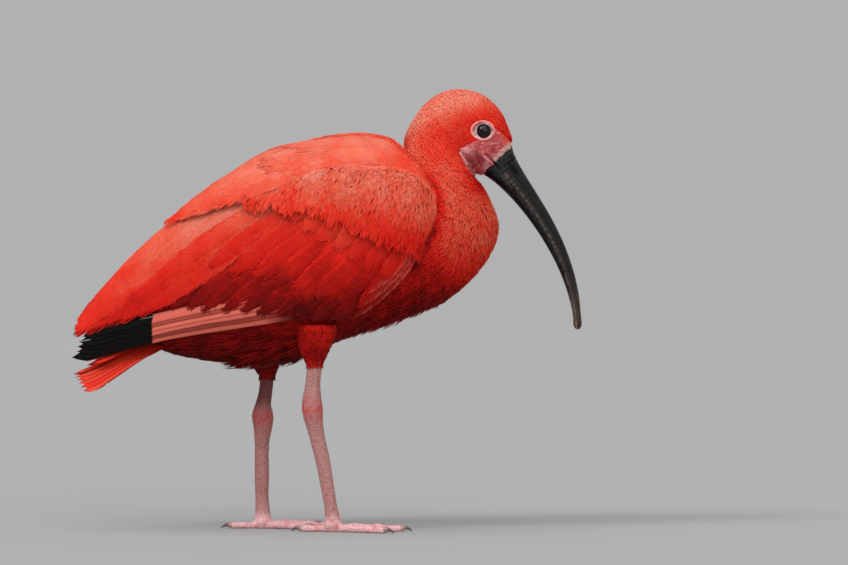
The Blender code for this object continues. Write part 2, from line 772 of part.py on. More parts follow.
def legs(torso_cutters):
    """Both legs from the feathered thighs to the claws."""
    for side, word in SIDES:
        thigh = THIGHS[side]
        heights = np.linspace(thigh[0][0], thigh[-1][0], 8)
        node(f"thigh_{word}", *limb(thigh, heights, side), "plumage")
        low = heights[:-1].tolist() + [heights[-1] - 1]
        torso_cutters.append(limb(thigh, [low[0] + GAP, *low[1:]], side, GAP))
        top, heel = LEGS[side][0][0], HEEL_UNDERSIDE[side]
        node(f"shin_{word}", *limb(LEGS[side], np.linspace(top, heel + GAP, 10), side), "bare_skin")
        node(f"tarsus_{word}", *limb(LEGS[side], np.linspace(heel, 8 + GAP, 12), side), "bare_skin")
        middle, deep, wide = smooth(sorted(LEGS[side]), 8)[0]
        pad = [(8, middle, deep, wide), (5, middle, deep + 1, wide + 1.5), (0, middle, deep - 3, wide - 2)]
        base = node(f"foot_{word}", *limb(pad, np.linspace(8, 0, 5), side), "bare_skin")
        combine(base, [toe(side, number) for number in range(4)], "UNION")
        for number in range(4):
            node(f"claw_{word}_{number + 1}", *claw(side, number), "claw")


def tail_sheet(along, place, step, height):
    """A point over the tail's roof: from root to tip, across it, a step further, and off it."""
    root, tip = np.array(TAIL_ROOT), np.array(TAIL_TIP)
    way = (tip - root) / np.linalg.norm(tip - root)
    up = np.array([way[1], -way[0]])
    fan = 0.35 + 0.65 * min(along / 0.9, 1)
    across = place * fan + step
    drop = TAIL_ROOF_DROP + TAIL_TIP_DROP * along
    at = root + (tip - root) * along + up * (height - drop * abs(across) ** 1.6)
    return np.array([at[0], across * TAIL_HALF_SPREAD, at[1]])


def tail_vane(pair, side):
    """One tail feather, under the one nearer the midline."""
    level = -TAIL_STEP * (pair + 1) if pair else -TAIL_STEP * (side == LEFT)
    place = side * (0.1 + 0.9 * pair / (TAIL_PAIRS - 1)) * 0.8
    length = 1 - 0.035 * pair
    outer, inner = [], []
    for share, narrow in LONG_ROWS:
        along = share * length
        thick = VANE_THICKNESS * (1 - 0.35 * share**3)
        rows = [], []
        for across in (-1, 0, 1):
            step = across * TAIL_HALF_VANE * narrow / TAIL_HALF_SPREAD
            height = level + VANE_CROWN * (1 - abs(across))
            rows[0].append(tail_sheet(along, place, step, height + thick / 2))
            rows[1].append(tail_sheet(along, place, step, height - thick / 2))
        outer.append(rows[0])
        inner.append(rows[1])
    return outward(*slab(np.array(outer), np.array(inner)))


def tail(skin):
    """The rump and the tail feathers."""
    rump = cut_skin("tail", *skin, [(*TAIL_CUT, -1)], "plumage")
    vanes = [tail_vane(pair, side) for pair in range(TAIL_PAIRS) for side in (RIGHT, LEFT)]
    combine(rump, vanes, "UNION")


def centre_on_origin():
    """Moves the bird so that the origin is below the middle of its box."""
    birds = list(bpy.data.objects)
    corners = np.array([v.co[:] for made in birds for v in made.data.vertices])
    middle = (corners.min(axis=0) + corners.max(axis=0)) / 2
    for made in birds:
        made.location = (-middle[0], -middle[1], 0)


def main():
    for made in list(bpy.data.objects):
        bpy.data.objects.remove(made)
    skin = body_skin()
    torso = cut_skin("torso", *skin, [(*TAIL_CUT, 1), (*NECK_CUT, -1)], "plumage")
    tail(skin)
    cut_skin("neck", *skin, [(*NECK_CUT, 1), (*HEAD_CUT, -1)], "plumage")
    head_and_bill(skin)
    torso_cutters = []
    wings(torso_cutters)
    legs(torso_cutters)
    combine(torso, torso_cutters, "DIFFERENCE")
    centre_on_origin()


main()
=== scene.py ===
"""Looks of the scarlet ibis: skin, feathers, bill, eyes, legs, light and camera.

Sizes are millimetres, with x forward, y to the bird's left and z up from the floor, as in the
part's source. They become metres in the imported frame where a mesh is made.
"""

import math

import bmesh
import bpy
import numpy as np
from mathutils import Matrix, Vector


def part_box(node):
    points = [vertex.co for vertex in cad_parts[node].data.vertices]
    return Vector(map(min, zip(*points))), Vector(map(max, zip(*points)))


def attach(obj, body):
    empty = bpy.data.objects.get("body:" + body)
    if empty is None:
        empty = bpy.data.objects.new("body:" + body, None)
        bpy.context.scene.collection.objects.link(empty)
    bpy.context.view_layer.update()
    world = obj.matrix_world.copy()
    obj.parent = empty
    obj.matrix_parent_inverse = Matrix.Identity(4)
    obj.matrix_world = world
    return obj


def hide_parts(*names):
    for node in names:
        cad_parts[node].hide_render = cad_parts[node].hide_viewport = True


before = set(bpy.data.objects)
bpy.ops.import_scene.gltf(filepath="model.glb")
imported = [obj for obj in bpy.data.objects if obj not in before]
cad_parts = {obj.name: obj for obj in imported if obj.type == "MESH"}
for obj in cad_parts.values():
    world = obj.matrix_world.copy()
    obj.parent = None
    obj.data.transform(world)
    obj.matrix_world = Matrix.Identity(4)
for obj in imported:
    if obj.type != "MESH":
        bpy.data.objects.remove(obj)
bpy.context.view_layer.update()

MM = 0.001
RIGHT, LEFT = -1, 1
SIDES = ((RIGHT, "right"), (LEFT, "left"))
ACROSS, UP = np.array([0.0, 1.0, 0.0]), np.array([0.0, 0.0, 1.0])

# ---------------------------------------------------------------- sizes shared with the part

# Body rings from the tail root to the bill root: back x, z, underside x, z, half width
BODY_RINGS = (
    (-133, 161, -131, 146, 6), (-120, 190, -119, 136, 16.5), (-92, 243, -94, 130, 26.5),
    (-56, 272, -60, 127, 38.5), (-14, 291.5, -20, 131, 46.5), (22, 297.5, 22, 146, 51),
    (46, 295, 58, 159, 51), (59, 288, 92, 173, 46.5), (59.5, 290, 118, 197, 37.5),
    (60, 294, 130.5, 224, 29), (62, 299, 124, 248, 23.5), (66, 307, 114.5, 264, 20.5),
    (75, 319, 113.4, 267.2, 18.6), (88, 328, 114.8, 266.8, 17.6), (103, 330.5, 116.6, 266.2, 17.2),
    (119, 326, 118.6, 265.3, 16.4), (132, 314, 120.4, 264.4, 14.2),
    (139.2, 298, 121.8, 263.6, 11.8), (143.2, 285.5, 124.6, 259.6, 9.4),
)
BODY_STATIONS = [(i, *ring) for i, ring in enumerate(BODY_RINGS)]
# The eye's middle from the side, its radius, and how far to the side it lies
EYE_AT = (119.3, 298.5)
EYE_RADIUS = 6.4
EYE_DEPTH = 11.6
# The bill's root, its length along the curve, and how far down it points and turns, in degrees
BILL_BASE = (130.9, 274.8)
BILL_LENGTH = 140.5
BILL_FIRST_ANGLE, BILL_TURN, BILL_BEND_POWER = 50.4, 38.5, 1.7
BILL_DIRECTION = np.array(
    [math.cos(math.radians(BILL_FIRST_ANGLE)), 0, -math.sin(math.radians(BILL_FIRST_ANGLE))]
)
BILL_ROOT = np.array([BILL_BASE[0], 0, BILL_BASE[1]])
# Share of the bill's length, its depth and its width there
BILL_SECTIONS = (
    (0.0, 27.4, 16.8), (0.05, 23.6, 15.4), (0.14, 19.4, 13.2), (0.23, 16.9, 11.6),
    (0.35, 14.8, 10.2), (0.5, 12.6, 8.8), (0.65, 10.2, 7.4), (0.8, 7.9, 6.2), (0.93, 5.9, 5.0),
    (1.0, 3.4, 3.0),
)
MOUTH_SHARE = 0.37
MOUTH_CORNER, MOUTH_ROOT = (120.3, 281.0), (128.6, 272.6)
# The surface that the wings lie on: x, middle z, half height, half width
WING_BED = (
    (-200, 124, 16, 6.5), (-188, 131.5, 19.5, 8.5), (-168, 148.5, 32.5, 13.5),
    (-144, 164.5, 44.5, 20), (-120, 177, 53, 27), (-96, 188, 61, 33.5), (-72, 196, 68, 39.5),
    (-48, 204.5, 74.5, 44.5), (-24, 209.5, 78, 48.5), (0, 215, 78.5, 51), (24, 221, 75.5, 51.7),
    (45, 224.5, 70.5, 50.5), (62, 228, 65, 47.5), (76, 232, 60, 43), (90, 236, 54, 36),
)
# x, and how far the wing's fleshy core stands off its bed
WING_DEPTH = ((-200, 3.0), (-140, 4.2), (-70, 5.4), (-20, 6.4), (40, 7.6), (76, 6.8), (90, 5))
# x, lower and upper edge of the core
WING_OUTLINE = (
    (-72, 164, 263), (-50, 157.5, 272.4), (-20, 157, 286.5), (10, 161, 292), (35, 173, 288.5),
    (52, 187, 281), (64, 198, 272.5), (74, 210, 264.5), (81, 223, 257.5), (85.5, 236, 249),
)
# x and z of the furrow between the small coverts and the shoulder feathers
FURROW = (
    (-46, 258), (-5, 269), (14, 273), (32, 272.5), (54, 270.5), (67, 267), (75.5, 262.5),
    (85.5, 250),
)
FURROW_DEPTH, FURROW_WIDTH = 3.2, 2.6
WING_EDGE = 1.2
# Height, x, depth and width of each limb's level rings
THIGHS = {
    RIGHT: ((154, -5.5, 32, 27), (141, -6.4, 27, 22), (133, -6.8, 20.5, 16.5), (125.3, -6.8, 13, 10.8)),
    LEFT: ((150, -51, 44, 28), (138, -48.4, 35, 24), (126, -45.6, 24, 17), (115.3, -44, 12.8, 10.6)),
}
LEGS = {
    RIGHT: (
        (125, -6.7, 11.2, 9.4), (107, -8.4, 11.8, 9.6), (98, -8.8, 14.6, 12), (91, -8.4, 15.8, 13),
        (83, -7.6, 14, 11.5), (75, -6, 12.3, 9.2), (55, -1.3, 11.2, 8.2), (30, 3.2, 10, 7.8),
        (16, 5.6, 10, 8.6), (8, 7, 12.5, 11),
    ),
    LEFT: (
        (115, -44, 10.6, 9.2), (101, -45.6, 10.6, 9.2), (93, -47.2, 12.4, 11),
        (85, -47.4, 16.4, 13), (77, -47.2, 14.6, 11.6), (68, -47.8, 11.8, 9.2), (40, -48, 11, 8.2),
        (16, -47.6, 10.6, 8.6), (8, -47, 12.5, 11),
    ),
}
HEEL = {RIGHT: 91.0, LEFT: 84.0}
HIP_OUT, FOOT_OUT = 26.0, 22.0
# For each toe its turn from straight ahead, in degrees, its length, and its depth at root and tip
TOES = ((-27, 43, 6.8, 5.0), (2, 51, 7.2, 5.0), (30, 40, 6.8, 5.0), (172, 24, 6.4, 4.8))
TOE_JOINTS = (3, 3, 2, 1)
CLAW_LENGTH = 7.5
GAP = 0.3
# The ridge of the tail's roof from the side, half its spread, and how far its edges drop
TAIL_ROOT, TAIL_TIP = (-119.5, 147), (-188, 116.8)
TAIL_HALF_SPREAD = 21.0
TAIL_ROOF_DROP, TAIL_TIP_DROP = 5.0, 8.0


def eye_middle(word):
    low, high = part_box(f"eye_{word}")
    return np.array((low + high) / 2)


SHIFT = (eye_middle("right") + eye_middle("left")) / 2 - np.array([EYE_AT[0], 0, EYE_AT[1]]) * MM


def place(points):
    """Points in metres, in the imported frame."""
    return np.asarray(points, float) * MM + SHIFT


# ---------------------------------------------------------------- numbers and meshes


def smooth(stations, where):
    """Rows at the positions in where, on a smooth curve through (position, value, ...) stations."""
    table = np.array(stations, float)
    at, values = table[:, 0], table[:, 1:]
    slopes = np.gradient(values, at, axis=0)
    where = np.clip(np.atleast_1d(np.asarray(where, float)), at[0], at[-1])
    i = np.clip(np.searchsorted(at, where, side="right") - 1, 0, len(at) - 2)
    span = (at[i + 1] - at[i])[:, None]
    t = (where[:, None] - at[i][:, None]) / span
    return (
        values[i] * (2 * t**3 - 3 * t**2 + 1)
        + slopes[i] * span * (t**3 - 2 * t**2 + t)
        + values[i + 1] * (3 * t**2 - 2 * t**3)
        + slopes[i + 1] * span * (t**3 - t**2)
    )


def unit(vectors):
    return vectors / np.maximum(np.linalg.norm(vectors, axis=-1, keepdims=True), 1e-9)


def step(low, high, values):
    """0 before low, 1 after high, and smooth between."""
    t = np.clip((np.asarray(values, float) - low) / (high - low), 0, 1)
    return t * t * (3 - 2 * t)


def bell(values, width):
    """1 where values are 0, falling smoothly to either side over about this width."""
    return np.exp(-((values / width) ** 2))


def circle(count):
    """Angles evenly round a circle."""
    return np.arange(count) * 2 * math.pi / count


def run_length(points):
    return np.linalg.norm(np.diff(points, axis=0), axis=1).sum()


def ripple(points, size, seed, octaves=5):
    """A smooth random field between about -1 and 1 that varies over lengths near size."""
    chance = np.random.default_rng(seed)
    ways = unit(chance.normal(size=(octaves * 2, 3)))
    total = np.zeros(len(points))
    for way in ways:
        warp = np.sin(points @ unit(chance.normal(size=3)) / size * 2.1 + chance.uniform(0, 6))
        pitch = size * chance.uniform(0.7, 1.4)
        total += np.sin(points @ way / pitch * 2 * math.pi + warp * 1.7 + chance.uniform(0, 6))
    return total / octaves


def inside(polygon, x, z):
    """Which points lie inside a side outline."""
    found = np.zeros(len(x), bool)
    for (x1, z1), (x2, z2) in zip(polygon, polygon[1:] + polygon[:1]):
        crosses = (z1 > z) != (z2 > z)
        with np.errstate(divide="ignore", invalid="ignore"):
            found ^= crosses & (x < (x2 - x1) * (z - z1) / (z2 - z1) + x1)
    return found


def edge_distance(stops, x, z):
    """Distance from points to a line of stops, from the side."""
    best = np.full(len(x), 1e9)
    for a, b in zip(stops[:-1], stops[1:]):
        a, run = np.array(a, float), np.array(b, float) - a
        t = np.clip(((x - a[0]) * run[0] + (z - a[1]) * run[1]) / (run @ run), 0, 1)
        best = np.minimum(best, np.hypot(x - a[0] - run[0] * t, z - a[1] - run[1] * t))
    return best


def object_of(name, data):
    """A new object in the scene."""
    made = bpy.data.objects.new(name, data)
    bpy.context.scene.collection.objects.link(made)
    return made


def make(name, points, faces, finishes, finish_of=None, values=None, uvs=None, normals=None):
    """A smooth mesh object from points in millimetres and an array of like faces.

    values holds a number, a vector or a colour for each point. uvs holds a map for each corner.
    """
    faces = np.asarray(faces, np.int32)
    mesh = bpy.data.meshes.new(name)
    mesh.vertices.add(len(points))
    mesh.vertices.foreach_set("co", place(points).astype(np.float32).ravel())
    mesh.loops.add(faces.size)
    mesh.loops.foreach_set("vertex_index", faces.ravel())
    mesh.polygons.add(len(faces))
    mesh.polygons.foreach_set("loop_start", np.arange(0, faces.size, faces.shape[1], dtype=np.int32))
    mesh.update(calc_edges=True)
    mesh.validate()
    for finish in finishes:
        mesh.materials.append(finish)
    if finish_of is not None:
        mesh.polygons.foreach_set("material_index", np.asarray(finish_of, np.int32))
    for key, array in (values or {}).items():
        array = np.asarray(array, np.float32)
        kind, field = {
            1: ("FLOAT", "value"),
            3: ("FLOAT_VECTOR", "vector"),
            4: ("FLOAT_COLOR", "color"),
        }[1 if array.ndim == 1 else array.shape[1]]
        mesh.attributes.new(key, kind, "POINT").data.foreach_set(field, array.ravel())
    for key, array in (uvs or {}).items():
        mesh.uv_layers.new(name=key).data.foreach_set("uv", np.asarray(array, np.float32).ravel())
    mesh.shade_smooth()
    if normals is not None:
        mesh.normals_split_custom_set_from_vertices(unit(normals).tolist())
    return object_of(name, mesh)


def grid_faces(rows, columns, wrap=True):
    """Quads of a grid of points, whose columns may close into rings."""
    i, j = np.meshgrid(np.arange(rows - 1), np.arange(columns if wrap else columns - 1), indexing="ij")
    k = (j + 1) % columns
    corners = [i * columns + j, i * columns + k, (i + 1) * columns + k, (i + 1) * columns + j]
    return np.stack(corners, -1).reshape(-1, 4)


def capped(rings):
    """Rings of points with a point in the middle of each end, and the quads that close them."""
    rows, columns = rings.shape[:2]
    ends = [rings[0].mean(0), rings[-1].mean(0)]
    points = np.concatenate([rings.reshape(-1, 3), ends])
    faces = [grid_faces(rows, columns)]
    first, last = rows * columns, rows * columns + 1
    j = np.arange(0, columns, 2)
    low = (rows - 1) * columns
    faces.append(np.stack([(j + 2) % columns, j + 1, j, np.full(len(j), first)], 1))
    faces.append(np.stack([low + j, low + j + 1, low + (j + 2) % columns, np.full(len(j), last)], 1))
    return points, outward(points, np.concatenate(faces))


def outward(points, faces):
    """The faces of a closed mesh of quads, turned to point out."""
    a, b, c, d = (points[faces[:, k]] - points.mean(0) for k in range(4))
    volume = (np.cross(a, b) * c).sum() + (np.cross(a, c) * d).sum()
    return faces if volume > 0 else faces[:, ::-1]


def joined(bodies):
    """Several (points, faces) as one."""
    points, faces, start = [], [], 0
    for p, f in bodies:
        points.append(p)
        faces.append(f + start)
        start += len(p)
    return np.concatenate(points), np.concatenate(faces)


# ---------------------------------------------------------------- surfaces of the bird


def body_point(s, a):
    """The body's surface: from tail root to bill root, and round from the back."""
    ring = smooth(BODY_STATIONS, s)
    middle, rise = (ring[:, 0:2] + ring[:, 2:4]) / 2, (ring[:, 0:2] - ring[:, 2:4]) / 2
    side = middle + rise * np.cos(a)[:, None]
    return np.stack([side[:, 0], ring[:, 4] * np.sin(a), side[:, 1]], 1)


def bed_point(x, angle, height=0.0, side=RIGHT):
    """The wing's bed: along the body, round it from its middle up, and off it."""
    middle, tall, wide = smooth(WING_BED, x).T
    normal = unit(np.stack([0 * middle, np.cos(angle) / wide, np.sin(angle) / tall], 1))
    point = np.stack([x, wide * np.cos(angle), middle + tall * np.sin(angle)], 1)
    point = point + normal * np.broadcast_to(height, middle.shape)[:, None]
    point[:, 1] = side * np.maximum(point[:, 1], GAP / 2)
    return point


def bed_angle(x, z):
    """The angle round the bed at which its surface is at this height."""
    middle, tall, _ = smooth(WING_BED, x).T
    return np.arcsin(np.clip((z - middle) / tall, -0.995, 0.995))


def wing_height(x, z, v):
    """How far the wing's fleshy core stands off its bed: little at its rim and in the furrow."""
    front, back = WING_OUTLINE[-1][0], WING_OUTLINE[0][0]
    end = np.sqrt(np.clip((front - x) / 16, 0, 1))
    start = np.sqrt(np.clip((x - back) / 40, 0, 1))
    bulge = np.sqrt(np.clip(np.minimum(v, 1 - v) / 0.16, 0, 1)) * end * start
    over = z - smooth(FURROW, x)[:, 0]
    furrow = FURROW_DEPTH * bell(over, FURROW_WIDTH)
    shoulder = 1.4 / (1 + np.exp(-over))
    return WING_EDGE + (smooth(WING_DEPTH, x)[:, 0] - WING_EDGE - furrow - shoulder) * bulge


def wing_point(x, v, side=RIGHT, lift=0.0):
    """The core's surface: along the body, and up from the wing's lower edge to its upper one."""
    x = np.clip(x, WING_OUTLINE[0][0], WING_OUTLINE[-1][0])
    low, high = smooth(WING_OUTLINE, x).T
    first, last = bed_angle(x, low), bed_angle(x, high)
    angle = first + (last - first) * v
    middle, tall, _ = smooth(WING_BED, x).T
    height = wing_height(x, middle + tall * np.sin(angle), np.clip(v, 0, 1))
    return bed_point(x, angle, height + lift, side)


def leg_out(height):
    return FOOT_OUT + (HIP_OUT - FOOT_OUT) * np.clip(height / 150, 0, 1)


def limb_point(stations, side, height, a):
    """A limb of level rings: down its height, and round it from the front."""
    middle, deep, wide = smooth(sorted(stations), height).T
    y = side * leg_out(height) + wide / 2 * np.sin(a)
    return np.stack([middle + deep / 2 * np.cos(a), y, height], 1)


def ringed(shape, along, count):
    """Rings of points on a surface, at steps along it."""
    u, v = np.repeat(along, count), np.tile(circle(count), len(along))
    return shape(u, v).reshape(len(along), count, 3)


def limb_mesh(stations, side, heights, count):
    """A closed mesh of a limb's level rings at these heights."""
    return capped(ringed(lambda u, v: limb_point(stations, side, u, v), heights, count))


def bill_frame(share):
    """Points of the bill's centreline and the directions of its top there."""
    share = np.atleast_1d(np.asarray(share, float))
    steps = 48
    s = share[:, None] * (np.arange(steps) + 0.5) / steps
    angle = np.radians(-BILL_FIRST_ANGLE - BILL_TURN * s**BILL_BEND_POWER)
    run = np.stack([np.cos(angle), 0 * angle, np.sin(angle)], -1).sum(1)
    at = BILL_ROOT + run * BILL_LENGTH * share[:, None] / steps
    angle = np.radians(-BILL_FIRST_ANGLE - BILL_TURN * np.abs(share) ** BILL_BEND_POWER)
    return at, np.stack([-np.sin(angle), 0 * angle, np.cos(angle)], 1)


def tail_point(along, place_across, height):
    """The tail's roof: from root to tip, across it, and off it. It is steepest at its tip."""
    root, tip = np.array(TAIL_ROOT), np.array(TAIL_TIP)
    way = (tip - root) / np.linalg.norm(tip - root)
    up = np.array([way[1], -way[0]])
    drop = TAIL_ROOF_DROP + TAIL_TIP_DROP * along
    rise = height - drop * np.abs(place_across) ** 1.6
    side = root + (tip - root) * along[:, None] + up * rise[:, None]
    return np.stack([side[:, 0], place_across * TAIL_HALF_SPREAD, side[:, 1]], 1)


def on_surface(shape, u, v):
    """Points of a surface, its outward normals there, and how it runs along u and along v."""
    e = 1e-3
    along = (shape(u + e, v) - shape(u - e, v)) / (2 * e)
    round_it = (shape(u, v + e) - shape(u, v - e)) / (2 * e)
    return shape(u, v), unit(np.cross(along, round_it)), along, round_it


# ---------------------------------------------------------------- finishes


def finish(name, roughness, **sockets):
    """A new material, a way to add linked nodes, and a way to link one to its shader.

    sockets names inputs of the shader, with underscores for spaces, and gives their values.
    """
    made = bpy.data.materials.new(name)
    made.use_nodes = True
    nodes, links = made.node_tree.nodes, made.node_tree.links
    shader = nodes["Principled BSDF"]
    shader.inputs["Roughness"].default_value = roughness
    for key, value in sockets.items():
        shader.inputs[key.replace("_", " ")].default_value = value

    def add(kind, inputs=(), **settings):
        added = nodes.new(kind)
        for key, value in settings.items():
            setattr(added, key, value)
        for key, value in dict(inputs).items():
            if hasattr(value, "is_output"):
                links.new(value, added.inputs[key])
            else:
                added.inputs[key].default_value = value
        return added

    def give(socket, value):
        links.new(value, shader.inputs[socket])

    return made, add, give


def colour(r, g, b):
    """A linear colour from one given as a screen shows it."""
    parts = [c / 255 for c in (r, g, b)]
    return tuple(c / 12.92 if c <= 0.04045 else ((c + 0.055) / 1.055) ** 2.4 for c in parts) + (1,)


def ramp(add, fac, stops):
    made = add("ShaderNodeValToRGB", {"Fac": fac})
    elements = made.color_ramp.elements
    elements[0].position, elements[0].color = stops[0][0], stops[0][1]
    elements[1].position, elements[1].color = stops[-1][0], stops[-1][1]
    for at, shade in stops[1:-1]:
        elements.new(at).color = shade
    return made.outputs["Color"]


def attribute(add, name, output="Fac"):
    return add("ShaderNodeAttribute", attribute_name=name).outputs[output]


def object_place(add):
    return add("ShaderNodeTexCoord").outputs["Object"]


def worked(add, how, *values):
    """One step of arithmetic on numbers and sockets."""
    return add("ShaderNodeMath", dict(enumerate(values)), operation=how).outputs[0]


def noise(add, where, scale, detail):
    return add("ShaderNodeTexNoise", {"Vector": where, "Scale": scale, "Detail": detail}).outputs["Fac"]


def grey(level):
    return level, level, level, 1


def bumped(add, give, strength, distance, height):
    """Shows a height as relief in the shading. A height of 1 stands for distance, in metres."""
    bump = add("ShaderNodeBump", {"Strength": strength, "Distance": distance, "Height": height})
    give("Normal", bump.outputs[0])


def mixed(add, how, fac, a, b):
    """a and b mixed as colours."""
    return add("ShaderNodeMix", {0: fac, 6: a, 7: b}, data_type="RGBA", blend_type=how).outputs[2]


# Plumage from the darkest underside to the palest back. The scarlet in its middle is the plumage's own; the
# darker reds stand for painted shade and the salmon for painted light and painted sheen
PLUMAGE = (
    (0.0, colour(76, 3, 2)), (0.2, colour(142, 9, 6)), (0.4, colour(204, 25, 15)),
    (0.58, colour(212, 46, 29)), (0.76, colour(214, 84, 61)), (1.0, colour(218, 126, 107)),
)


def plumage_finish(name, fine, barbs, gain):
    """Feathers: a tone from below to above that carries painted light and shade, varied by feather, with
    painted shade along each, darker to its root, and fine barbs.
    """
    sheen = {"Sheen_Weight": 0.1, "Sheen_Roughness": 0.4, "Sheen_Tint": colour(255, 120, 90)}
    made, add, give = finish(name, 0.7, Specular_IOR_Level=0.1, **sheen)
    tone, chance, tip = (attribute(add, key) for key in ("tone", "chance", "tip"))
    where = object_place(add)
    cloud = noise(add, where, 95, 4)
    grain = noise(add, where, fine, 3)
    total = tone
    for part, share in ((cloud, 0.16), (chance, 0.14), (grain, 0.1)):
        total = worked(add, "MULTIPLY_ADD", worked(add, "ADD", part, -0.5), share, total)
    base = ramp(add, total, PLUMAGE)
    # Painted shade by the tip value: darker and redder to the root and on tucked edges, lighter at the
    # tips. gain lightens it all, more for the down, against the shade between its barbs.
    shades = ((0.0, (0.5, 0.36, 0.36)), (0.5, (0.94, 0.88, 0.88)), (1.0, (1.05, 1.12, 1.12)))
    shade = ramp(add, tip, [(at, (*(gain * part for part in tint), 1)) for at, tint in shades])
    base = mixed(add, "MULTIPLY", 1.0, base, shade)
    if barbs:
        base, height = vane_marks(add, base)
        bumped(add, give, 0.25, 0.0003, height)
    give("Base Color", base)
    return made


def vane_marks(add, base):
    """Barbs that slant from the shaft, the paler shaft itself, and the black of the wing tips."""
    uv = add("ShaderNodeUVMap", uv_map="vane").outputs[0]
    parts = add("ShaderNodeSeparateXYZ", {0: uv}).outputs
    across = worked(add, "ABSOLUTE", parts[0])
    slant = worked(add, "MULTIPLY_ADD", across, -2.2, parts[1])
    height = worked(add, "SINE", worked(add, "MULTIPLY", slant, 26.0))
    lines = ramp(add, height, ((0.0, (0.9, 0.85, 0.85, 1)), (0.9, grey(1.03))))
    base = mixed(add, "MULTIPLY", 0.5, base, lines)
    shaft = ramp(add, across, ((0.0, grey(1)), (0.03, grey(0.6)), (0.07, grey(0))))
    base = mixed(add, "MIX", worked(add, "MULTIPLY", shaft, 0.035), base, colour(246, 150, 128))
    pale = attribute(add, "pale")
    base = mixed(add, "MIX", pale, base, colour(236, 116, 98))
    black = ramp(add, attribute(add, "black"), ((0.485, grey(0)), (0.515, grey(1))))
    base = mixed(add, "MIX", black, base, colour(9, 8, 9))
    white = worked(add, "MULTIPLY", worked(add, "MULTIPLY", shaft, pale), black)
    return mixed(add, "MIX", white, base, colour(176, 172, 170)), height


def bare_finish():
    """Bare skin of face and legs: its paint, finely mottled, with small scales or wrinkles."""
    flesh = {"Subsurface_Weight": 0.08, "Subsurface_Scale": 0.002}
    made, add, give = finish("bare_skin", 0.5, Specular_IOR_Level=0.4, **flesh)
    where = object_place(add)
    scaly = attribute(add, "scaly")
    mottle = noise(add, where, 620, 5)
    tints = ((0.3, (0.84, 0.74, 0.76, 1)), (0.52, grey(1)), (0.72, (1.1, 1.12, 1.1, 1)))
    tint = ramp(add, mottle, tints)
    base = mixed(add, "MULTIPLY", 0.8, attribute(add, "paint", "Color"), tint)
    cells = add("ShaderNodeTexVoronoi", {"Vector": where, "Scale": 640}, feature="DISTANCE_TO_EDGE")
    cells = cells.outputs["Distance"]
    seams = ramp(add, cells, ((0.02, (0.42, 0.32, 0.32, 1)), (0.13, grey(1))))
    base = mixed(add, "MULTIPLY", worked(add, "MULTIPLY", scaly, 0.75), base, seams)
    height = worked(add, "MULTIPLY_ADD", mottle, 0.25, worked(add, "MULTIPLY", cells, scaly))
    bumped(add, give, 0.7, 0.0005, height)
    give("Base Color", base)
    return made


# The bill's own colour, and that of its scuffs and of the painted sky reflection on its ridge, from its
# root to its tip
BILL_SHADES = (
    (0.0, colour(5, 5, 6)), (0.35, colour(3, 3, 3)), (0.7, colour(10, 9, 9)),
    (0.88, colour(52, 40, 35)), (1.0, colour(48, 34, 30)),
)
BILL_WEAR_AND_SHEEN = (
    (0.0, colour(76, 76, 82)), (0.5, colour(66, 67, 64)), (0.75, colour(100, 86, 80)),
    (1.0, colour(136, 106, 96)),
)


def horn_finish():
    """The bill: near black with fine long scuffs, a ridge greyed by painted sky reflection, and browner to
    its tip.
    """
    made, add, give = finish("horn", 0.3, Specular_IOR_Level=0.16)
    uv = add("ShaderNodeUVMap", uv_map="length").outputs[0]
    parts = add("ShaderNodeSeparateXYZ", {0: uv}).outputs
    long = add("ShaderNodeMapping", {"Vector": uv, "Scale": (7, 150, 1)}).outputs[0]
    streak = noise(add, long, 1, 5)
    broad = add("ShaderNodeMapping", {"Vector": uv, "Scale": (16, 40, 1)}).outputs[0]
    wear_and_sheen_patches = noise(add, broad, 1, 6)
    flake = noise(add, object_place(add), 420, 5)
    base = ramp(add, parts[0], BILL_SHADES)
    pale = ramp(add, parts[0], BILL_WEAR_AND_SHEEN)
    # Scuffs, and painted sky reflection on the upper ridge, in the bill's paler colour.
    wear_and_sheen = worked(add, "MULTIPLY", wear_and_sheen_patches, flake)
    wear_and_sheen = ramp(add, wear_and_sheen, ((0.18, grey(0.12)), (0.32, grey(1))))
    wear_and_sheen = worked(add, "MULTIPLY", wear_and_sheen, attribute(add, "wear_and_sheen"))
    base = mixed(add, "MIX", wear_and_sheen, base, pale)
    lines = ramp(add, streak, ((0.35, grey(0.4)), (0.62, grey(1.5))))
    base = mixed(add, "MULTIPLY", 0.8, base, lines)
    base = mixed(add, "MIX", attribute(add, "edge"), base, colour(150, 128, 112))
    height = worked(add, "MULTIPLY_ADD", flake, 0.5, streak)
    bumped(add, give, 0.3, 0.0003, height)
    dull = ramp(add, wear_and_sheen_patches, ((0.35, grey(0.26)), (0.7, grey(0.46))))
    give("Roughness", dull)
    give("Base Color", base)
    return made


def eye_finish():
    """A nearly black iris round a black pupil, smooth and wet."""
    made, add, give = finish("eye_gloss", 0.04, Specular_IOR_Level=0.32)
    spokes = noise(add, object_place(add), 900, 3)
    iris = ramp(add, spokes, ((0.35, colour(14, 8, 8)), (0.7, colour(34, 18, 15))))
    base = mixed(add, "MIX", attribute(add, "pupil"), iris, colour(3, 3, 4))
    give("Base Color", base)
    return made


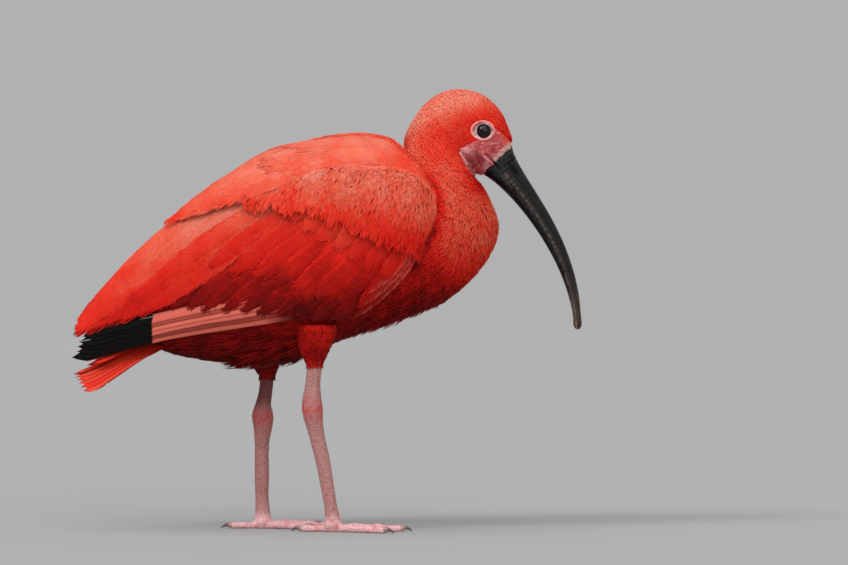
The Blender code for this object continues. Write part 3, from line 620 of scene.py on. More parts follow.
def claw_finish():
    """Claws: pale grey-brown horn, darker to the tip and finely mottled."""
    made, add, give = finish("claw_horn", 0.38)
    along = attribute(add, "tip")
    grain = noise(add, object_place(add), 700, 4)
    shades = ((0.0, colour(172, 140, 134)), (0.5, colour(104, 80, 76)), (1.0, colour(38, 28, 27)))
    base = ramp(add, along, shades)
    tint = ramp(add, grain, ((0.3, grey(0.75)), (0.7, grey(1.15))))
    give("Base Color", mixed(add, "MULTIPLY", 0.8, base, tint))
    bumped(add, give, 0.3, 0.0002, grain)
    return made


DOWN = plumage_finish("down", 420, False, 1.11)
VANE = plumage_finish("vane", 260, True, 1.0)
BARE = bare_finish()
HORN = horn_finish()
EYE = eye_finish()
CLAW = claw_finish()

# ---------------------------------------------------------------- markings


def tone_at(at, normal):
    """How pale the plumage is at a place: 0 dark red below, 1 salmon above. This is mostly painted light
    and shade: paler on top and on up-facing surfaces, darker underneath, with a painted shadow under the
    chin.
    """
    x, z = at[:, 0], at[:, 2]
    # Painted light and shade: paler the higher the place and the more it faces up, darker underneath.
    under = 133 + 0.36 * np.clip(x - 20, 0, 110)
    height = np.clip((z - under) / (292 - under), 0, 1)
    tone = 0.12 + 0.7 * height + 0.08 * normal[:, 2]
    # On head and neck too: paler up towards the crown and darker at the throat, as painted light and shade.
    head = step(40, 62, x) * step(226, 268, z)
    crown = 0.6 + 0.1 * step(84, 66, x) + 0.3 * step(300, 322, z + 0.25 * (100 - x))
    crown = crown - 0.1 * step(92, 116, x) * step(318, 300, z)
    throat = 0.7 - 0.1 * step(84, 112, x) * step(284, 262, z)
    neck = throat + (crown - throat) * step(262, 296, z)
    tone = tone * (1 - head) + neck * head
    # The breast too: painted shade darker low down, painted light where it faces up.
    breast = step(84, 100, x) * step(276, 240, z)
    tone = tone * (1 - breast) + breast * (0.13 + 0.56 * step(160, 226, z) + 0.06 * normal[:, 2])
    # Painted shadow under the chin, where it meets the neck.
    tone = tone - 0.3 * blot(at, (117, 261), (8, 4)) - 0.7 * blot(at, (110.4, 271), (7.5, 2.8), -53)
    # Painted shade on the up-facing top of the back, against the strong light from above.
    tone = tone - 0.12 * step(0.75, 0.95, normal[:, 2]) * step(100, 70, x) * step(250, 280, z)
    return np.clip(tone + 0.05 * ripple(at, 26, 3), 0.02, 1)


# Edge of the bare face, from the side
FACE = [
    (126.5, 302), (134, 297.5), (139.2, 292), (150, 284), (132, 248), (118.5, 261.5),
    (110.5, 267.2), (105.6, 273.4), (101, 281.5), (101.2, 286.2), (106, 288.2), (112, 290.5),
]
# Fold behind the jaw, and the line of the mouth over the skin
JAW_FOLD = [(101.8, 281.7), (104.2, 277.6), (106.9, 273.8)]
MOUTH_LINE = [MOUTH_CORNER, (124.8, 277.2), MOUTH_ROOT]
EYE_RING = 9.3
RING_MIDDLE, RING_FLAT = (118.7, 299.0), 1.22


def ring_distance(at):
    """How far places are from the eye's middle, in steps that make its flat ring round."""
    return np.hypot(at[:, 0] - RING_MIDDLE[0], (at[:, 2] - RING_MIDDLE[1]) * RING_FLAT)


def bare_at(at):
    """Which points of the head are bare of feathers."""
    x, z = at[:, 0], at[:, 2]
    round_eye = ring_distance(at) < EYE_RING
    return (inside(FACE, x, z) | round_eye) & (x > 98) & (z > 255)


def face_depth(at):
    """How far inside the bare face a point is, from 0 at its edge to 1."""
    x, z = at[:, 0], at[:, 2]
    near = edge_distance(FACE + FACE[:1], x, z)
    ring = EYE_RING - ring_distance(at)
    return np.where(bare_at(at), step(-0.3, 1.2, np.maximum(near, ring)), 0)


def blot(at, centre, sizes, turn=0.0):
    """1 in a soft oval mark seen from the side, 0 away from it."""
    x, z = at[:, 0] - centre[0], at[:, 2] - centre[1]
    c, s = math.cos(math.radians(turn)), math.sin(math.radians(turn))
    return np.exp(-(((x * c + z * s) / sizes[0]) ** 2) - ((z * c - x * s) / sizes[1]) ** 2)


# Below this, in the measure that bill_way gives, a place belongs to the throat
THROAT_UNDER = -16


def bill_way(at):
    """How far points lie past the bill's root plane, and over its middle there."""
    from_root = at - BILL_ROOT
    up = np.array([-BILL_DIRECTION[2], 0, BILL_DIRECTION[0]])
    return from_root @ BILL_DIRECTION, from_root @ up


def lay(paint, shade, share):
    """Lays a colour over the paint of points, each of which takes its own share of it."""
    paint[:] = paint * (1 - share[:, None]) + np.array(shade) * share[:, None]


def face_paint(at):
    """The bare face's colours."""
    base, violet, dark = colour(186, 76, 76), colour(132, 20, 46), colour(98, 12, 20)
    red, pale, line = colour(212, 62, 44), colour(224, 158, 160), colour(232, 152, 144)
    cream, spot, ring = colour(222, 166, 158), colour(176, 28, 26), colour(244, 150, 144)
    ashy, white, rim = colour(150, 106, 106), colour(226, 186, 182), colour(60, 32, 36)
    horn, groove = colour(24, 23, 25), colour(96, 22, 28)
    paint = np.tile(base, (len(at), 1))
    x, z = at[:, 0], at[:, 2]
    lores = edge_distance(FACE[:4], x, z)
    lay(paint, red, 0.9 * step(6.5, 1.5, lores + 1.5 * ripple(at, 5, 26)) * step(282, 288, z))
    lay(paint, violet, 0.72 * step(-0.1, 0.6, ripple(at, 5.2, 21)) * step(292, 284, z))
    lay(paint, line, 0.55 * step(0.35, 0.8, ripple(at * [1, 1, 1.6], 4.2, 22)))
    # Painted shadow where the chin meets the neck.
    lay(paint, dark, 0.85 * blot(at, (110, 276.0), (5.6, 2.6), -50))
    lay(paint, dark, 0.8 * blot(at, (114.8, 280.4), (5.0, 1.7), -42))
    lay(paint, violet, 0.7 * blot(at, (117, 276), (5.0, 2.2), -40))
    lay(paint, pale, 0.75 * blot(at, (105.8, 284.4), (5.4, 2.6), -18))
    lay(paint, pale, 0.92 * blot(at, (120.8, 269.2), (3.0, 5.4), -12))
    lay(paint, line, 0.8 * blot(at, (121.5, 278.2), (5.2, 0.9), -44))
    lay(paint, line, 0.95 * step(1.0, 0.4, edge_distance(JAW_FOLD, x, z)))
    lay(paint, spot, 0.85 * blot(at, (116.0, 270.5), (2.2, 2.0)))
    past, over = bill_way(at)
    edge = past + np.interp(over, (-12.3, -7.1, -0.4, 10.1), (-3.3, 1.7, 2.7, 3.4))
    edge = edge + 0.5 * ripple(at, 3, 23)
    lay(paint, cream, 0.9 * step(-4.6, -2.2, edge) * step(-3, -1, over))
    lay(paint, horn, step(-0.6, 0.2, edge))
    mouth = edge_distance(MOUTH_LINE, x, z)
    lay(paint, groove, 0.85 * step(0.6, 0.2, mouth))
    far = np.hypot(x - EYE_AT[0], z - EYE_AT[1])
    flat = ring_distance(at) + 0.3 * ripple(at, 5, 25)
    inner = step(8.1, 7.5, flat)
    lay(paint, ring, 0.9 * step(7.4, 8.2, flat) * step(9.6, 9.0, flat))
    lay(paint, ashy, 0.9 * inner)
    lay(paint, white, 0.85 * inner * step(-0.5, 0.6, ripple(at, 4.5, 27) - 0.12 * (z - EYE_AT[1])))
    lay(paint, rim, step(5.6, 5.1, far))
    return paint


# ---------------------------------------------------------------- skin of body and head

HEAD_FROM = 9.5
BODY_ROUND = 96


def body_depth(s):
    """How deep the skin lies under the coat along the body: less on neck and head."""
    return 3.4 - 2.0 * step(7, 11, s)


def coat_depth(at, s):
    """How deep the skin lies under the coat's surface, with the bare face at the surface."""
    depth = body_depth(s)
    return np.where(at[:, 2] > 250, depth * (1 - face_depth(at)) + 0.1, depth)


def body_skin():
    """Skin of torso, neck and head, finer on the face and round the eyes, closed on the bill."""
    s = np.concatenate([np.linspace(0.02, HEAD_FROM, 56)[:-1], np.linspace(HEAD_FROM, 17.98, 96)])
    points, faces = capped(ringed(body_point, s, BODY_ROUND))
    work = bmesh.new()
    verts = [work.verts.new(p) for p in points]
    for face in faces:
        work.faces.new([verts[i] for i in face])

    def refine(radius, near):
        """Halves the edges whose middle is near."""
        edges = [e for e in work.edges if near(np.array((e.verts[0].co + e.verts[1].co) / 2), radius)]
        bmesh.ops.subdivide_edges(work, edges=edges, cuts=1, use_grid_fill=True)

    def near_face(p, radius):
        return p[0] > 98 and 256 < p[2] < 312 and math.hypot(p[0] - 119, (p[2] - 286) * 0.8) < radius

    def near_eye(p, radius):
        return math.hypot(p[0] - EYE_AT[0], p[2] - EYE_AT[1]) < radius

    refine(26, near_face)
    refine(12.5, near_eye)
    refine(11, near_eye)
    bmesh.ops.triangulate(work, faces=work.faces)
    work.verts.index_update()
    points = np.array([v.co[:] for v in work.verts])
    faces = np.array([[v.index for v in f.verts] for f in work.faces])
    work.free()
    return points, faces


def triangle_normals(points, faces):
    a, b, c = (points[faces[:, k]] for k in range(3))
    across = np.cross(b - a, c - a)
    total = np.zeros_like(points)
    for k in range(3):
        np.add.at(total, faces[:, k], across)
    return unit(total)


def sculpt_head(points, normals):
    """Sinks the skin under the coat and shapes lids, wrinkles, the mouth and the bill's root."""
    at = points.copy()
    x, y, z = at.T
    s_like = 7 + 4 * step(200, 262, z) * step(40, 60, x)
    moved = at - normals * coat_depth(at, s_like)[:, None]
    face = face_depth(at)
    far = np.hypot(x - EYE_AT[0], z - EYE_AT[1])
    off_eye = step(9.5, 11, far)
    wrinkle = 0.34 * ripple(at, 2.6, 31) + 0.22 * ripple(at, 1.5, 32)
    fold = edge_distance(JAW_FOLD, x, z)
    mouth = edge_distance(MOUTH_LINE, x, z)
    rise = face * off_eye * wrinkle
    rise += 0.9 * bell(fold, 0.9) * (z > 250)
    rise += 1.0 * blot(at, (106.6, 284.2), (5.6, 2.9), -18) * face
    rise -= 1.3 * bell(mouth, 0.75) * face
    rise += 0.55 * bell(mouth - 1.9, 0.9) * face
    rise += 0.5 * blot(at, (116.6, 271), (1.4, 1.3))
    rise -= 0.8 * blot(at, (128.5, 293), (4.5, 3.2), -35) * face
    moved += normals * (rise * (x > 95))[:, None]
    side = np.where(y > 0, 1.0, -1.0)
    ball = EYE_DEPTH + np.sqrt(np.clip(EYE_RADIUS**2 - far**2, 0, None))
    turn = np.arctan2(z - EYE_AT[1], x - EYE_AT[0])
    level = np.abs(moved[:, 1])
    flat = ring_distance(at)
    lid = np.interp(far, (4.6, 5.0, 5.5, 6.3, 7.3), (9.0, 15.75, 16.3, 16.1, 16.2))
    lid += 0.14 * np.sin(far * 7.5 + 1.2 * np.sin(turn * 3)) * step(5.6, 6.2, far) * step(7.8, 7.0, far)
    ring = 0.8 * bell(flat - 8.5, 0.75) * (1 + 0.25 * ripple(at, 4, 28))
    base = np.where(flat < 7.3, lid, 16.3 + (level - 16.3) * step(7.3, 10.5, flat)) + ring
    close = (far < 11.5) & (x > 100)
    moved[close, 1] = (side * base)[close]
    keep = close & (far > 4.9) & (far < 6)
    moved[keep, 1] = (side * np.maximum(base, ball + 0.12))[keep]
    past, over = bill_way(at)
    tall, wide = BILL_SECTIONS[0][1] / 2 + 0.35, BILL_SECTIONS[0][2] / 2 + 0.35
    size = np.sqrt((over / tall) ** 2 + (y / wide) ** 2)
    shrink = step(-7, 0.2, past) * (over > THROAT_UNDER)
    scale = 1 + (np.minimum(1 / np.maximum(size, 1e-3), 1) - 1) * shrink
    middle = BILL_ROOT + past[:, None] * BILL_DIRECTION
    front = (past > -8) & (over > THROAT_UNDER)
    moved[front] = (middle + (moved - middle) * scale[:, None])[front]
    beyond = (past > 0.4) & (over > THROAT_UNDER)
    pulled = BILL_ROOT + BILL_DIRECTION * 0.4 + (moved - middle) * 0.8
    moved[beyond] = pulled[beyond]
    return moved


# ---------------------------------------------------------------- legs

REMESH = 0.62
DIGIT_ROUND = 16
# How much thinner the skin is than the coated thigh, and how far it lies from the wing's surface
THIGH_COAT = 3.2
WING_SKIN = (-1.6, -9.0)


def remeshed(bodies, size):
    """One closed mesh round several that pass through each other."""
    points, faces = joined(bodies)
    mesh = bpy.data.meshes.new("working")
    mesh.from_pydata(points.tolist(), [], faces.tolist())
    work = object_of("working", mesh)
    shell = work.modifiers.new("shell", "REMESH")
    shell.mode, shell.voxel_size = "VOXEL", size
    bpy.context.view_layer.update()
    made = work.evaluated_get(bpy.context.evaluated_depsgraph_get()).to_mesh()
    points = np.zeros(len(made.vertices) * 3)
    made.vertices.foreach_get("co", points)
    made.calc_loop_triangles()
    faces = np.zeros(len(made.loop_triangles) * 3, np.int32)
    made.loop_triangles.foreach_get("vertices", faces)
    bpy.data.objects.remove(work)
    bpy.data.meshes.remove(mesh)
    return points.reshape(-1, 3), faces.reshape(-1, 3)


def relaxed(points, faces, rounds):
    """The same mesh with each point moved towards its neighbours' middle."""
    ends = np.concatenate([faces[:, [0, 1]], faces[:, [1, 2]], faces[:, [2, 0]]])
    for _ in range(rounds):
        total, count = np.zeros_like(points), np.bincount(ends[:, 0], minlength=len(points))
        np.add.at(total, ends[:, 0], points[ends[:, 1]])
        points = points * 0.45 + total / np.maximum(count, 1)[:, None] * 0.55
    return points


def toe_way(side, number):
    turn = math.radians(TOES[number][0] * -side)
    return np.array([math.cos(turn), math.sin(turn), 0])


def foot_middle(side):
    return np.array([smooth(sorted(LEGS[side]), 8)[0][0], side * FOOT_OUT, 0])


def digit(side, number, along, half, height):
    """A closed toe or claw, from how far along, aside and up its points lie."""
    way = toe_way(side, number)
    across = np.array([-way[1], way[0], 0])
    middle = foot_middle(side)
    return capped(middle + way * along[..., None] + across * half[..., None] + UP * height[..., None])


def toe(side, number):
    """One toe with its joint pads, from inside the foot to the root of its claw."""
    _, length, thick, thin = TOES[number]
    share = np.linspace(0, 1, 30)[:, None]
    bump = 1 + 0.09 * np.cos(2 * math.pi * TOE_JOINTS[number] * share)
    half = (thick + (thin - thick) * share) / 2 * bump * np.sqrt(np.clip((1.03 - share) / 0.06, 0.3, 1))
    a = circle(DIGIT_ROUND)
    height = np.maximum(half * 0.84 + half * np.sin(a), 0.02)
    return digit(side, number, share * length, half * np.cos(a), height)


def web(side, first, second):
    """The small web between the roots of two front toes."""
    corner, reach = foot_middle(side), 15.0
    ends = [corner + toe_way(side, k) * reach for k in (first, second)]
    points = []
    for level in (1.0, 3.6):
        points += [corner, ends[0], (ends[0] + ends[1]) / 2 * 0.86 + corner * 0.14, ends[1]]
        for p in range(4):
            points[-4 + p] = points[-4 + p] * [1, 1, 0] + UP * level
    faces = np.array([(3, 2, 1, 0), (4, 5, 6, 7), (0, 1, 5, 4), (1, 2, 6, 5), (2, 3, 7, 6), (3, 0, 4, 7)])
    return np.array(points), faces


def leg_skin(side):
    """Bare shin, heel, tarsus and foot as one skin, with scutes down the front and on the toes."""
    top = LEGS[side][0][0] + 4
    limb = limb_mesh(LEGS[side], side, np.linspace(top, 6.5, 90), 24)
    middle, deep, wide = smooth(sorted(LEGS[side]), 8)[0]
    pad = ((8, middle, deep, wide), (5, middle, deep + 1, wide + 1.5), (0, middle, deep - 3, wide - 2))
    foot = limb_mesh(pad, side, np.linspace(8.2, 0.02, 12), 24)
    bodies = [limb, foot] + [toe(side, k) for k in range(4)] + [web(side, 0, 1), web(side, 1, 2)]
    points, faces = remeshed(bodies, REMESH)
    points = relaxed(points, faces, 3)
    normals = triangle_normals(points, faces)
    x, y, z = points.T
    at = smooth(sorted(LEGS[side]), np.clip(z, 8, top))
    ahead = (x - at[:, 0]) / (at[:, 1] / 2)
    upright = step(9, 14, z)
    bare = np.clip(1 - np.abs(z - HEEL[side]) / 13, 0, 1)
    scute = np.abs(((z + 0.25 * np.abs(y - side * leg_out(z))) / 2.7) % 1 - 0.5) * 2
    rise = 0.16 * (1 - step(0.72, 1, scute)) * step(0.1, 0.6, ahead) * upright * (1 - bare)
    wrinkle = np.sin((z + 0.5 * x + 0.8 * ripple(points, 7, 41)) * 3.6)
    rise += bare * (0.2 * wrinkle + 0.16 * ripple(points, 2.2, 42))
    rise += 0.1 * ripple(points, 3.0, 43) * upright
    middle = foot_middle(side)
    for k in range(4):
        way = toe_way(side, k)
        along = (points - middle) @ way
        away = np.linalg.norm(points - middle - along[:, None] * way, axis=1)
        on = (away < 6.5) & (along > 5) & (z < 9)
        groove = np.abs((along / 2.3) % 1 - 0.5) * 2
        rise += on * step(2.0, 3.6, z) * (0.2 - 0.34 * step(0.66, 1, groove))
    points = points + normals * rise[:, None]
    points[:, 2] = np.maximum(points[:, 2], 0.0)
    return points, faces


def leg_paint(points, side):
    """Greyish pink legs, redder heels and paler toes. The left leg has painted shade above its heel."""
    pink, red, pale = colour(186, 132, 128), colour(190, 74, 70), colour(242, 188, 190)
    brown, dark = colour(136, 52, 50), colour(92, 18, 16)
    z = points[:, 2]
    paint = np.tile(pink, (len(points), 1))
    patchy = step(-0.5, 0.5, ripple(points, 5, 46))
    lay(paint, red, (0.45 + 0.5 * patchy) * bell(z - HEEL[side], 9))
    # Painted shade on the far, left leg, darker above its heel.
    if side == LEFT:
        lay(paint, dark, 0.9 * step(86, 100, z))
        lay(paint, brown, 0.25 * step(14, 30, z))
    blotchy = step(0.2, 0.9, ripple(points, 4, 44))
    lay(paint, brown, 0.5 * blotchy * bell(z - HEEL[side], 10))
    lay(paint, pale, 0.9 * step(15, 7, z))
    lay(paint, red, 0.35 * step(0.1, 0.9, ripple(points, 9, 45)) * step(22, 8, z))
    return paint


def skin():
    """The one skin under feathers, face and legs."""
    points, faces = body_skin()
    points = points.astype(float)
    normals = triangle_normals(points, faces)
    bare = bare_at(points) & (face_depth(points) > 0.15)
    past, over = bill_way(points)
    bare |= (past > -1) & (over > THROAT_UNDER)
    tone = tone_at(points, normals)
    paint = face_paint(points)
    shaped = sculpt_head(points, normals)
    face_bare = bare[faces].mean(1) > 0.5
    parts, finishes = [], []

    def extend(points, faces, tone, paint, scaly, is_bare):
        parts.append({"points": points, "faces": faces, "tone": tone, "paint": paint, "scaly": scaly})
        finishes.append(np.full(len(faces), is_bare))

    def extend_feathered(points, faces):
        faces = np.concatenate([faces[:, [0, 1, 2]], faces[:, [0, 2, 3]]])
        count = len(points)
        tone = tone_at(points, triangle_normals(points, faces))
        extend(points, faces, tone, np.ones((count, 4)), np.zeros(count), False)

    extend(shaped, faces, tone, paint, np.zeros(len(tone)), face_bare)
    for side, _ in SIDES:
        top, bottom = THIGHS[side][0][0], THIGHS[side][-1][0]
        thin = [(h, m, d - THIGH_COAT, w - THIGH_COAT) for h, m, d, w in THIGHS[side]]
        extend_feathered(*limb_mesh(thin, side, np.linspace(top, bottom, 24), 32))
        p, f = leg_skin(side)
        heel = bell(p[:, 2] - HEEL[side], 8)
        extend(p, f, np.zeros(len(p)), leg_paint(p, side), 1 - 0.6 * heel, True)
        x, v = np.meshgrid(np.linspace(-71, 85, 50), np.linspace(0, 1, 26), indexing="ij")
        x, v = x.ravel(), v.ravel()
        outer, inner = (wing_point(x, v, side, lift).reshape(50, 26, 3) for lift in WING_SKIN)
        extend_feathered(*capped(np.concatenate([outer, inner[:, ::-1]], 1)))
    total = gathered(parts)
    points, faces = total["points"], total["faces"]
    values = {key: total[key] for key in ("tone", "paint", "scaly")}
    values["tone"] -= 0.06
    values["tip"], values["chance"] = np.ones(len(points)), np.full(len(points), 0.5)
    made = make("skin", points, faces, (DOWN, BARE), np.concatenate(finishes), values)
    flesh = ["torso", "neck", "head"]
    flesh += [f"{part}_{word}" for part in ("thigh", "shin", "tarsus", "foot") for _, word in SIDES]
    return done(made, "bare_skin", *flesh)


def done(made, slot, *replaced):
    """Ties a piece to the body and hides the nodes that it stands for. slot is not used."""
    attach(made, "root")
    if replaced:
        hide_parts(*replaced)
    return made


# ---------------------------------------------------------------- bill, eyes and claws


# The bill's depth and width at its blunt end
BILL_END = ((0.97, 6.0, 5.0), (1.0, 5.6, 4.6))
# How deep the long groove of each half is cut, and how far from the lip it lies
GROOVE = {True: (0.13, 0.36), False: (0.09, 0.5)}


def bill_half(upper):
    """Half of the bill, with the long groove and the ridge beside it, and the upper's nostril."""
    rows, columns, inner = 180, 44, 8
    share = np.linspace(0, 1, rows)
    at, up = bill_frame(share)
    blunt = np.sqrt(np.clip((1.002 - share) / 0.022, 0, 1))
    tall, wide = smooth(BILL_SECTIONS[:-1] + BILL_END, share).T * blunt
    reach = tall * (1 - MOUTH_SHARE if upper else MOUTH_SHARE)
    sign = 1 if upper else -1
    start = -4.0 * (share < 0.004)
    mouth = at + up * (tall * (MOUTH_SHARE - 0.5))[:, None] + BILL_DIRECTION * start[:, None]
    a = np.pi * np.linspace(0, 1, columns - inner)
    depth, groove_at = GROOVE[upper]
    fade = step(0.02, 0.07, share) * step(1.0, 0.8, share)
    rings = []
    for angle in a:
        side = abs(angle - math.pi / 2) / (math.pi / 2)
        cut = depth * bell(1 - side - groove_at, 0.07)
        ridge = 0.035 * bell(1 - side - groove_at - 0.16, 0.06)
        size = 1 - cut * fade + ridge * fade + 0.05 * bell(1 - side, 0.07)
        size = size * (1 + 0.012 * np.sin(share * 260 + 3 * side) * step(0.2, 0.02, share))
        if upper:
            size = size - 0.3 * (bell(share - 0.085, 0.035) * bell(1 - side - 0.42, 0.075))
        rise = sign * (0.12 + reach * size * math.sin(angle) ** 0.85)
        aside = wide / 2 * size * math.cos(angle)
        rings.append(mouth + up * rise[:, None] + ACROSS * aside[:, None])
    for k in range(1, inner + 1):
        across = -1 + 2 * k / (inner + 1)
        dip = sign * (0.12 + 0.4 * (1 - across**2))
        rings.append(mouth + up * dip + ACROSS * (wide / 2 * across)[:, None])
    rings = np.stack(rings, 1)
    if not upper:
        rings = rings[:, ::-1]
    points, faces = capped(rings)
    length = np.concatenate([np.repeat(share, columns), [0, 1]])
    round_it = np.concatenate([np.tile(np.linspace(0, 1, columns), rows), [0.5, 0.5]])
    uv = np.stack([length, round_it * 0.45 + (0.5 if upper else 0)], 1)[faces.ravel()]
    from_ridge = np.abs(a - math.pi / 2) / (math.pi / 2)
    rim, wear_and_sheen = np.zeros((2, rows, columns))
    fine = 0.6 + 0.4 * np.sin(share * 190 + 2 * np.sin(share * 47))
    tipped = step(0.68, 0.86, share)[:, None]
    if upper:
        along = step(0.02, 0.06, share) * step(0.8, 0.5, share) * fine
        rim[:, : len(a)] = step(0.9, 1, from_ridge) * along[:, None]
        # Painted sky reflection greys the upper half near its ridge, with the scuffs.
        wear_and_sheen[:, : len(a)] = 0.1 + 0.8 * step(0.5, 0.2, from_ridge) * (1 - 0.5 * tipped)
    else:
        wear_and_sheen[:, : len(a)] = 0.1 + 0.6 * bell(from_ridge - 0.62, 0.26) + 0.4 * tipped
    rim, wear_and_sheen = (np.concatenate([one.ravel(), [0, 0]]) for one in (0.55 * rim, wear_and_sheen))
    name = "bill_top" if upper else "bill_bottom"
    made = make(name, points, faces, (HORN,), values={"edge": rim, "wear_and_sheen": wear_and_sheen}, uvs={"length": uv})
    return done(made, "bill", "bill_upper" if upper else "bill_lower")


def eye(side, word):
    """An eyeball with a dark iris, a pupil and a slightly proud front. It looks a little ahead."""
    rows, columns = 40, 48
    polar = np.linspace(0.02, math.pi - 0.02, rows)
    u, v = np.repeat(polar, columns), np.tile(circle(columns), rows)
    proud = 1 + 0.035 * bell(u, 0.5)
    axis = unit(np.array([0.12, side, 0.03]))
    first = unit(np.cross(axis, UP))
    second = np.cross(axis, first)
    out = np.cos(u)[:, None] * axis + np.sin(u)[:, None] * (
        np.cos(v)[:, None] * first + np.sin(v)[:, None] * second
    )
    points = np.array([EYE_AT[0], side * EYE_DEPTH, EYE_AT[1]]) + out * (EYE_RADIUS * proud)[:, None]
    points, faces = capped(points.reshape(rows, columns, 3)[::side])
    pupil = step(0.52, 0.46, u).reshape(rows, columns)[::side].ravel()
    pupil = np.concatenate([pupil, [side == 1, side != 1]])
    made = make(f"eyeball_{word}", points, faces, (EYE,), values={"pupil": pupil})
    return done(made, "eye", f"eye_{word}")


def claw(side, word, number):
    """A curved claw, flattened underneath, from inside its toe's tip."""
    _, length, _, thin = TOES[number]
    share = np.linspace(-0.25, 1, 22)[:, None]
    reach = np.clip(share, 0, 1)
    half = thin / 2 * 0.78 * (1 - 0.86 * reach**1.3)
    middle = thin * 0.5 + 0.9 * np.sin(math.pi * reach) - (thin * 0.5 - 0.5) * reach**2
    a = circle(DIGIT_ROUND)
    height = np.maximum(middle + half * 1.15 * np.sin(a), 0.02)
    along = length + GAP + CLAW_LENGTH * share
    points, faces = digit(side, number, along, half * 0.8 * np.cos(a), height)
    tip = np.concatenate([np.repeat(reach[:, 0], DIGIT_ROUND), [0, 1]])
    made = make(f"nail_{word}_{number + 1}", points, faces, (CLAW,), values={"tip": tip})
    return done(made, "claw", f"claw_{word}_{number + 1}")


# ---------------------------------------------------------------- small feathers


NEIGHBOURS = [(a, b, c) for a in (-1, 0, 1) for b in (-1, 0, 1) for c in (-1, 0, 1)]


def evenly(distance):
    return lambda at: np.full(len(at), distance)


def scatter(shape, u_range, v_range, spacing, keep, seed):
    """Roots spread evenly over a surface: their places in u and v, in space, and the normals.

    spacing gives the distance between neighbours at a place, and keep says where feathers grow.
    """
    chance = np.random.default_rng(seed)
    cells = 90
    u_edge, v_edge = np.linspace(*u_range, cells + 1), np.linspace(*v_range, cells + 1)
    u, v = np.meshgrid((u_edge[1:] + u_edge[:-1]) / 2, (v_edge[1:] + v_edge[:-1]) / 2, indexing="ij")
    u, v = u.ravel(), v.ravel()
    at, normal, along, round_it = on_surface(shape, u, v)
    u_size, v_size = u_edge[1] - u_edge[0], v_edge[1] - v_edge[0]
    area = np.linalg.norm(np.cross(along, round_it), axis=1) * u_size * v_size
    area = area * keep(at, normal)
    wanted = area / spacing(at) ** 2
    total = int(wanted.sum() * 5)
    picked = chance.choice(len(u), total, p=wanted / wanted.sum())
    u = u[picked] + chance.uniform(-0.5, 0.5, total) * u_size
    v = v[picked] + chance.uniform(-0.5, 0.5, total) * v_size
    at, normal, _, _ = on_surface(shape, u, v)
    apart = spacing(at) * 0.82
    grown = keep(at, normal) > 0
    cell = apart.max()
    slots, kept = {}, []
    homes = np.floor(at / cell).astype(int).tolist()
    places, limits = at.tolist(), (apart**2).tolist()
    for i in np.flatnonzero(grown):
        hx, hy, hz = homes[i]
        x, y, z = places[i]
        limit = limits[i]
        near = (slots.get((hx + a, hy + b, hz + c), ()) for a, b, c in NEIGHBOURS)
        if any((x - p[0]) ** 2 + (y - p[1]) ** 2 + (z - p[2]) ** 2 < limit for slot in near for p in slot):
            continue
        slots.setdefault((hx, hy, hz), []).append((x, y, z))
        kept.append(i)
    return u[kept], v[kept], at[kept], normal[kept]


# A barb has three rows of three points and a tip: how far along each row lies, and how wide it is
ROWS = np.array([0.0, 0.38, 0.74, 1.0])
ROW_WIDTH = np.array([0.55, 1.0, 0.8])
BARB_POINTS, BARB_FACES = 10, 16
BARB_LEAN = 0.24


def strands(spot, out, half):
    """Thin closed barbs along rows of points, each with a ridge on its outer side."""
    way = unit(np.gradient(spot, axis=1))
    across = unit(np.cross(way, out))
    half = (half[:, None] * ROW_WIDTH)[..., None]
    left, right = spot[:, :3] - across[:, :3] * half, spot[:, :3] + across[:, :3] * half
    ridge = spot[:, :3] + out[:, :3] * half * 0.55
    points = np.concatenate([np.stack([left, ridge, right], 2).reshape(-1, 9, 3), spot[:, 3:]], 1)
    one = [(0, 2, 1)]
    for row in (0, 3):
        for k in range(3):
            a, b = row + k, row + (k + 1) % 3
            one += [(a, b, b + 3), (a, b + 3, a + 3)]
    one += [(6, 7, 9), (7, 8, 9), (8, 6, 9)]
    faces = np.array(one) + (np.arange(len(spot)) * BARB_POINTS)[:, None, None]
    soft, lean = out[:, :3], across[:, :3] * BARB_LEAN
    normals = np.stack([soft - lean, soft, soft + lean], 2)
    normals = np.concatenate([normals.reshape(-1, 9, 3), out[:, 3:]], 1)
    return points.reshape(-1, 3), faces.reshape(-1, 3), normals.reshape(-1, 3)


def strand_values(count, tone, random, patch):
    """What a coat needs to know of its barbs, from one tone, chance and place for each."""
    tip = np.concatenate([np.repeat(ROWS[:3], 3), [1.0]])
    return {
        "tone": np.repeat(tone, BARB_POINTS),
        "chance": np.repeat(np.clip(random, 0, 1), BARB_POINTS),
        "tip": np.tile(tip, count),
        "patch": np.repeat(patch, BARB_POINTS, axis=0),
        "where": np.tile(np.stack([np.tile([0, 0.5, 1], 3).tolist() + [0.5], tip], 1), (count, 1)),
    }


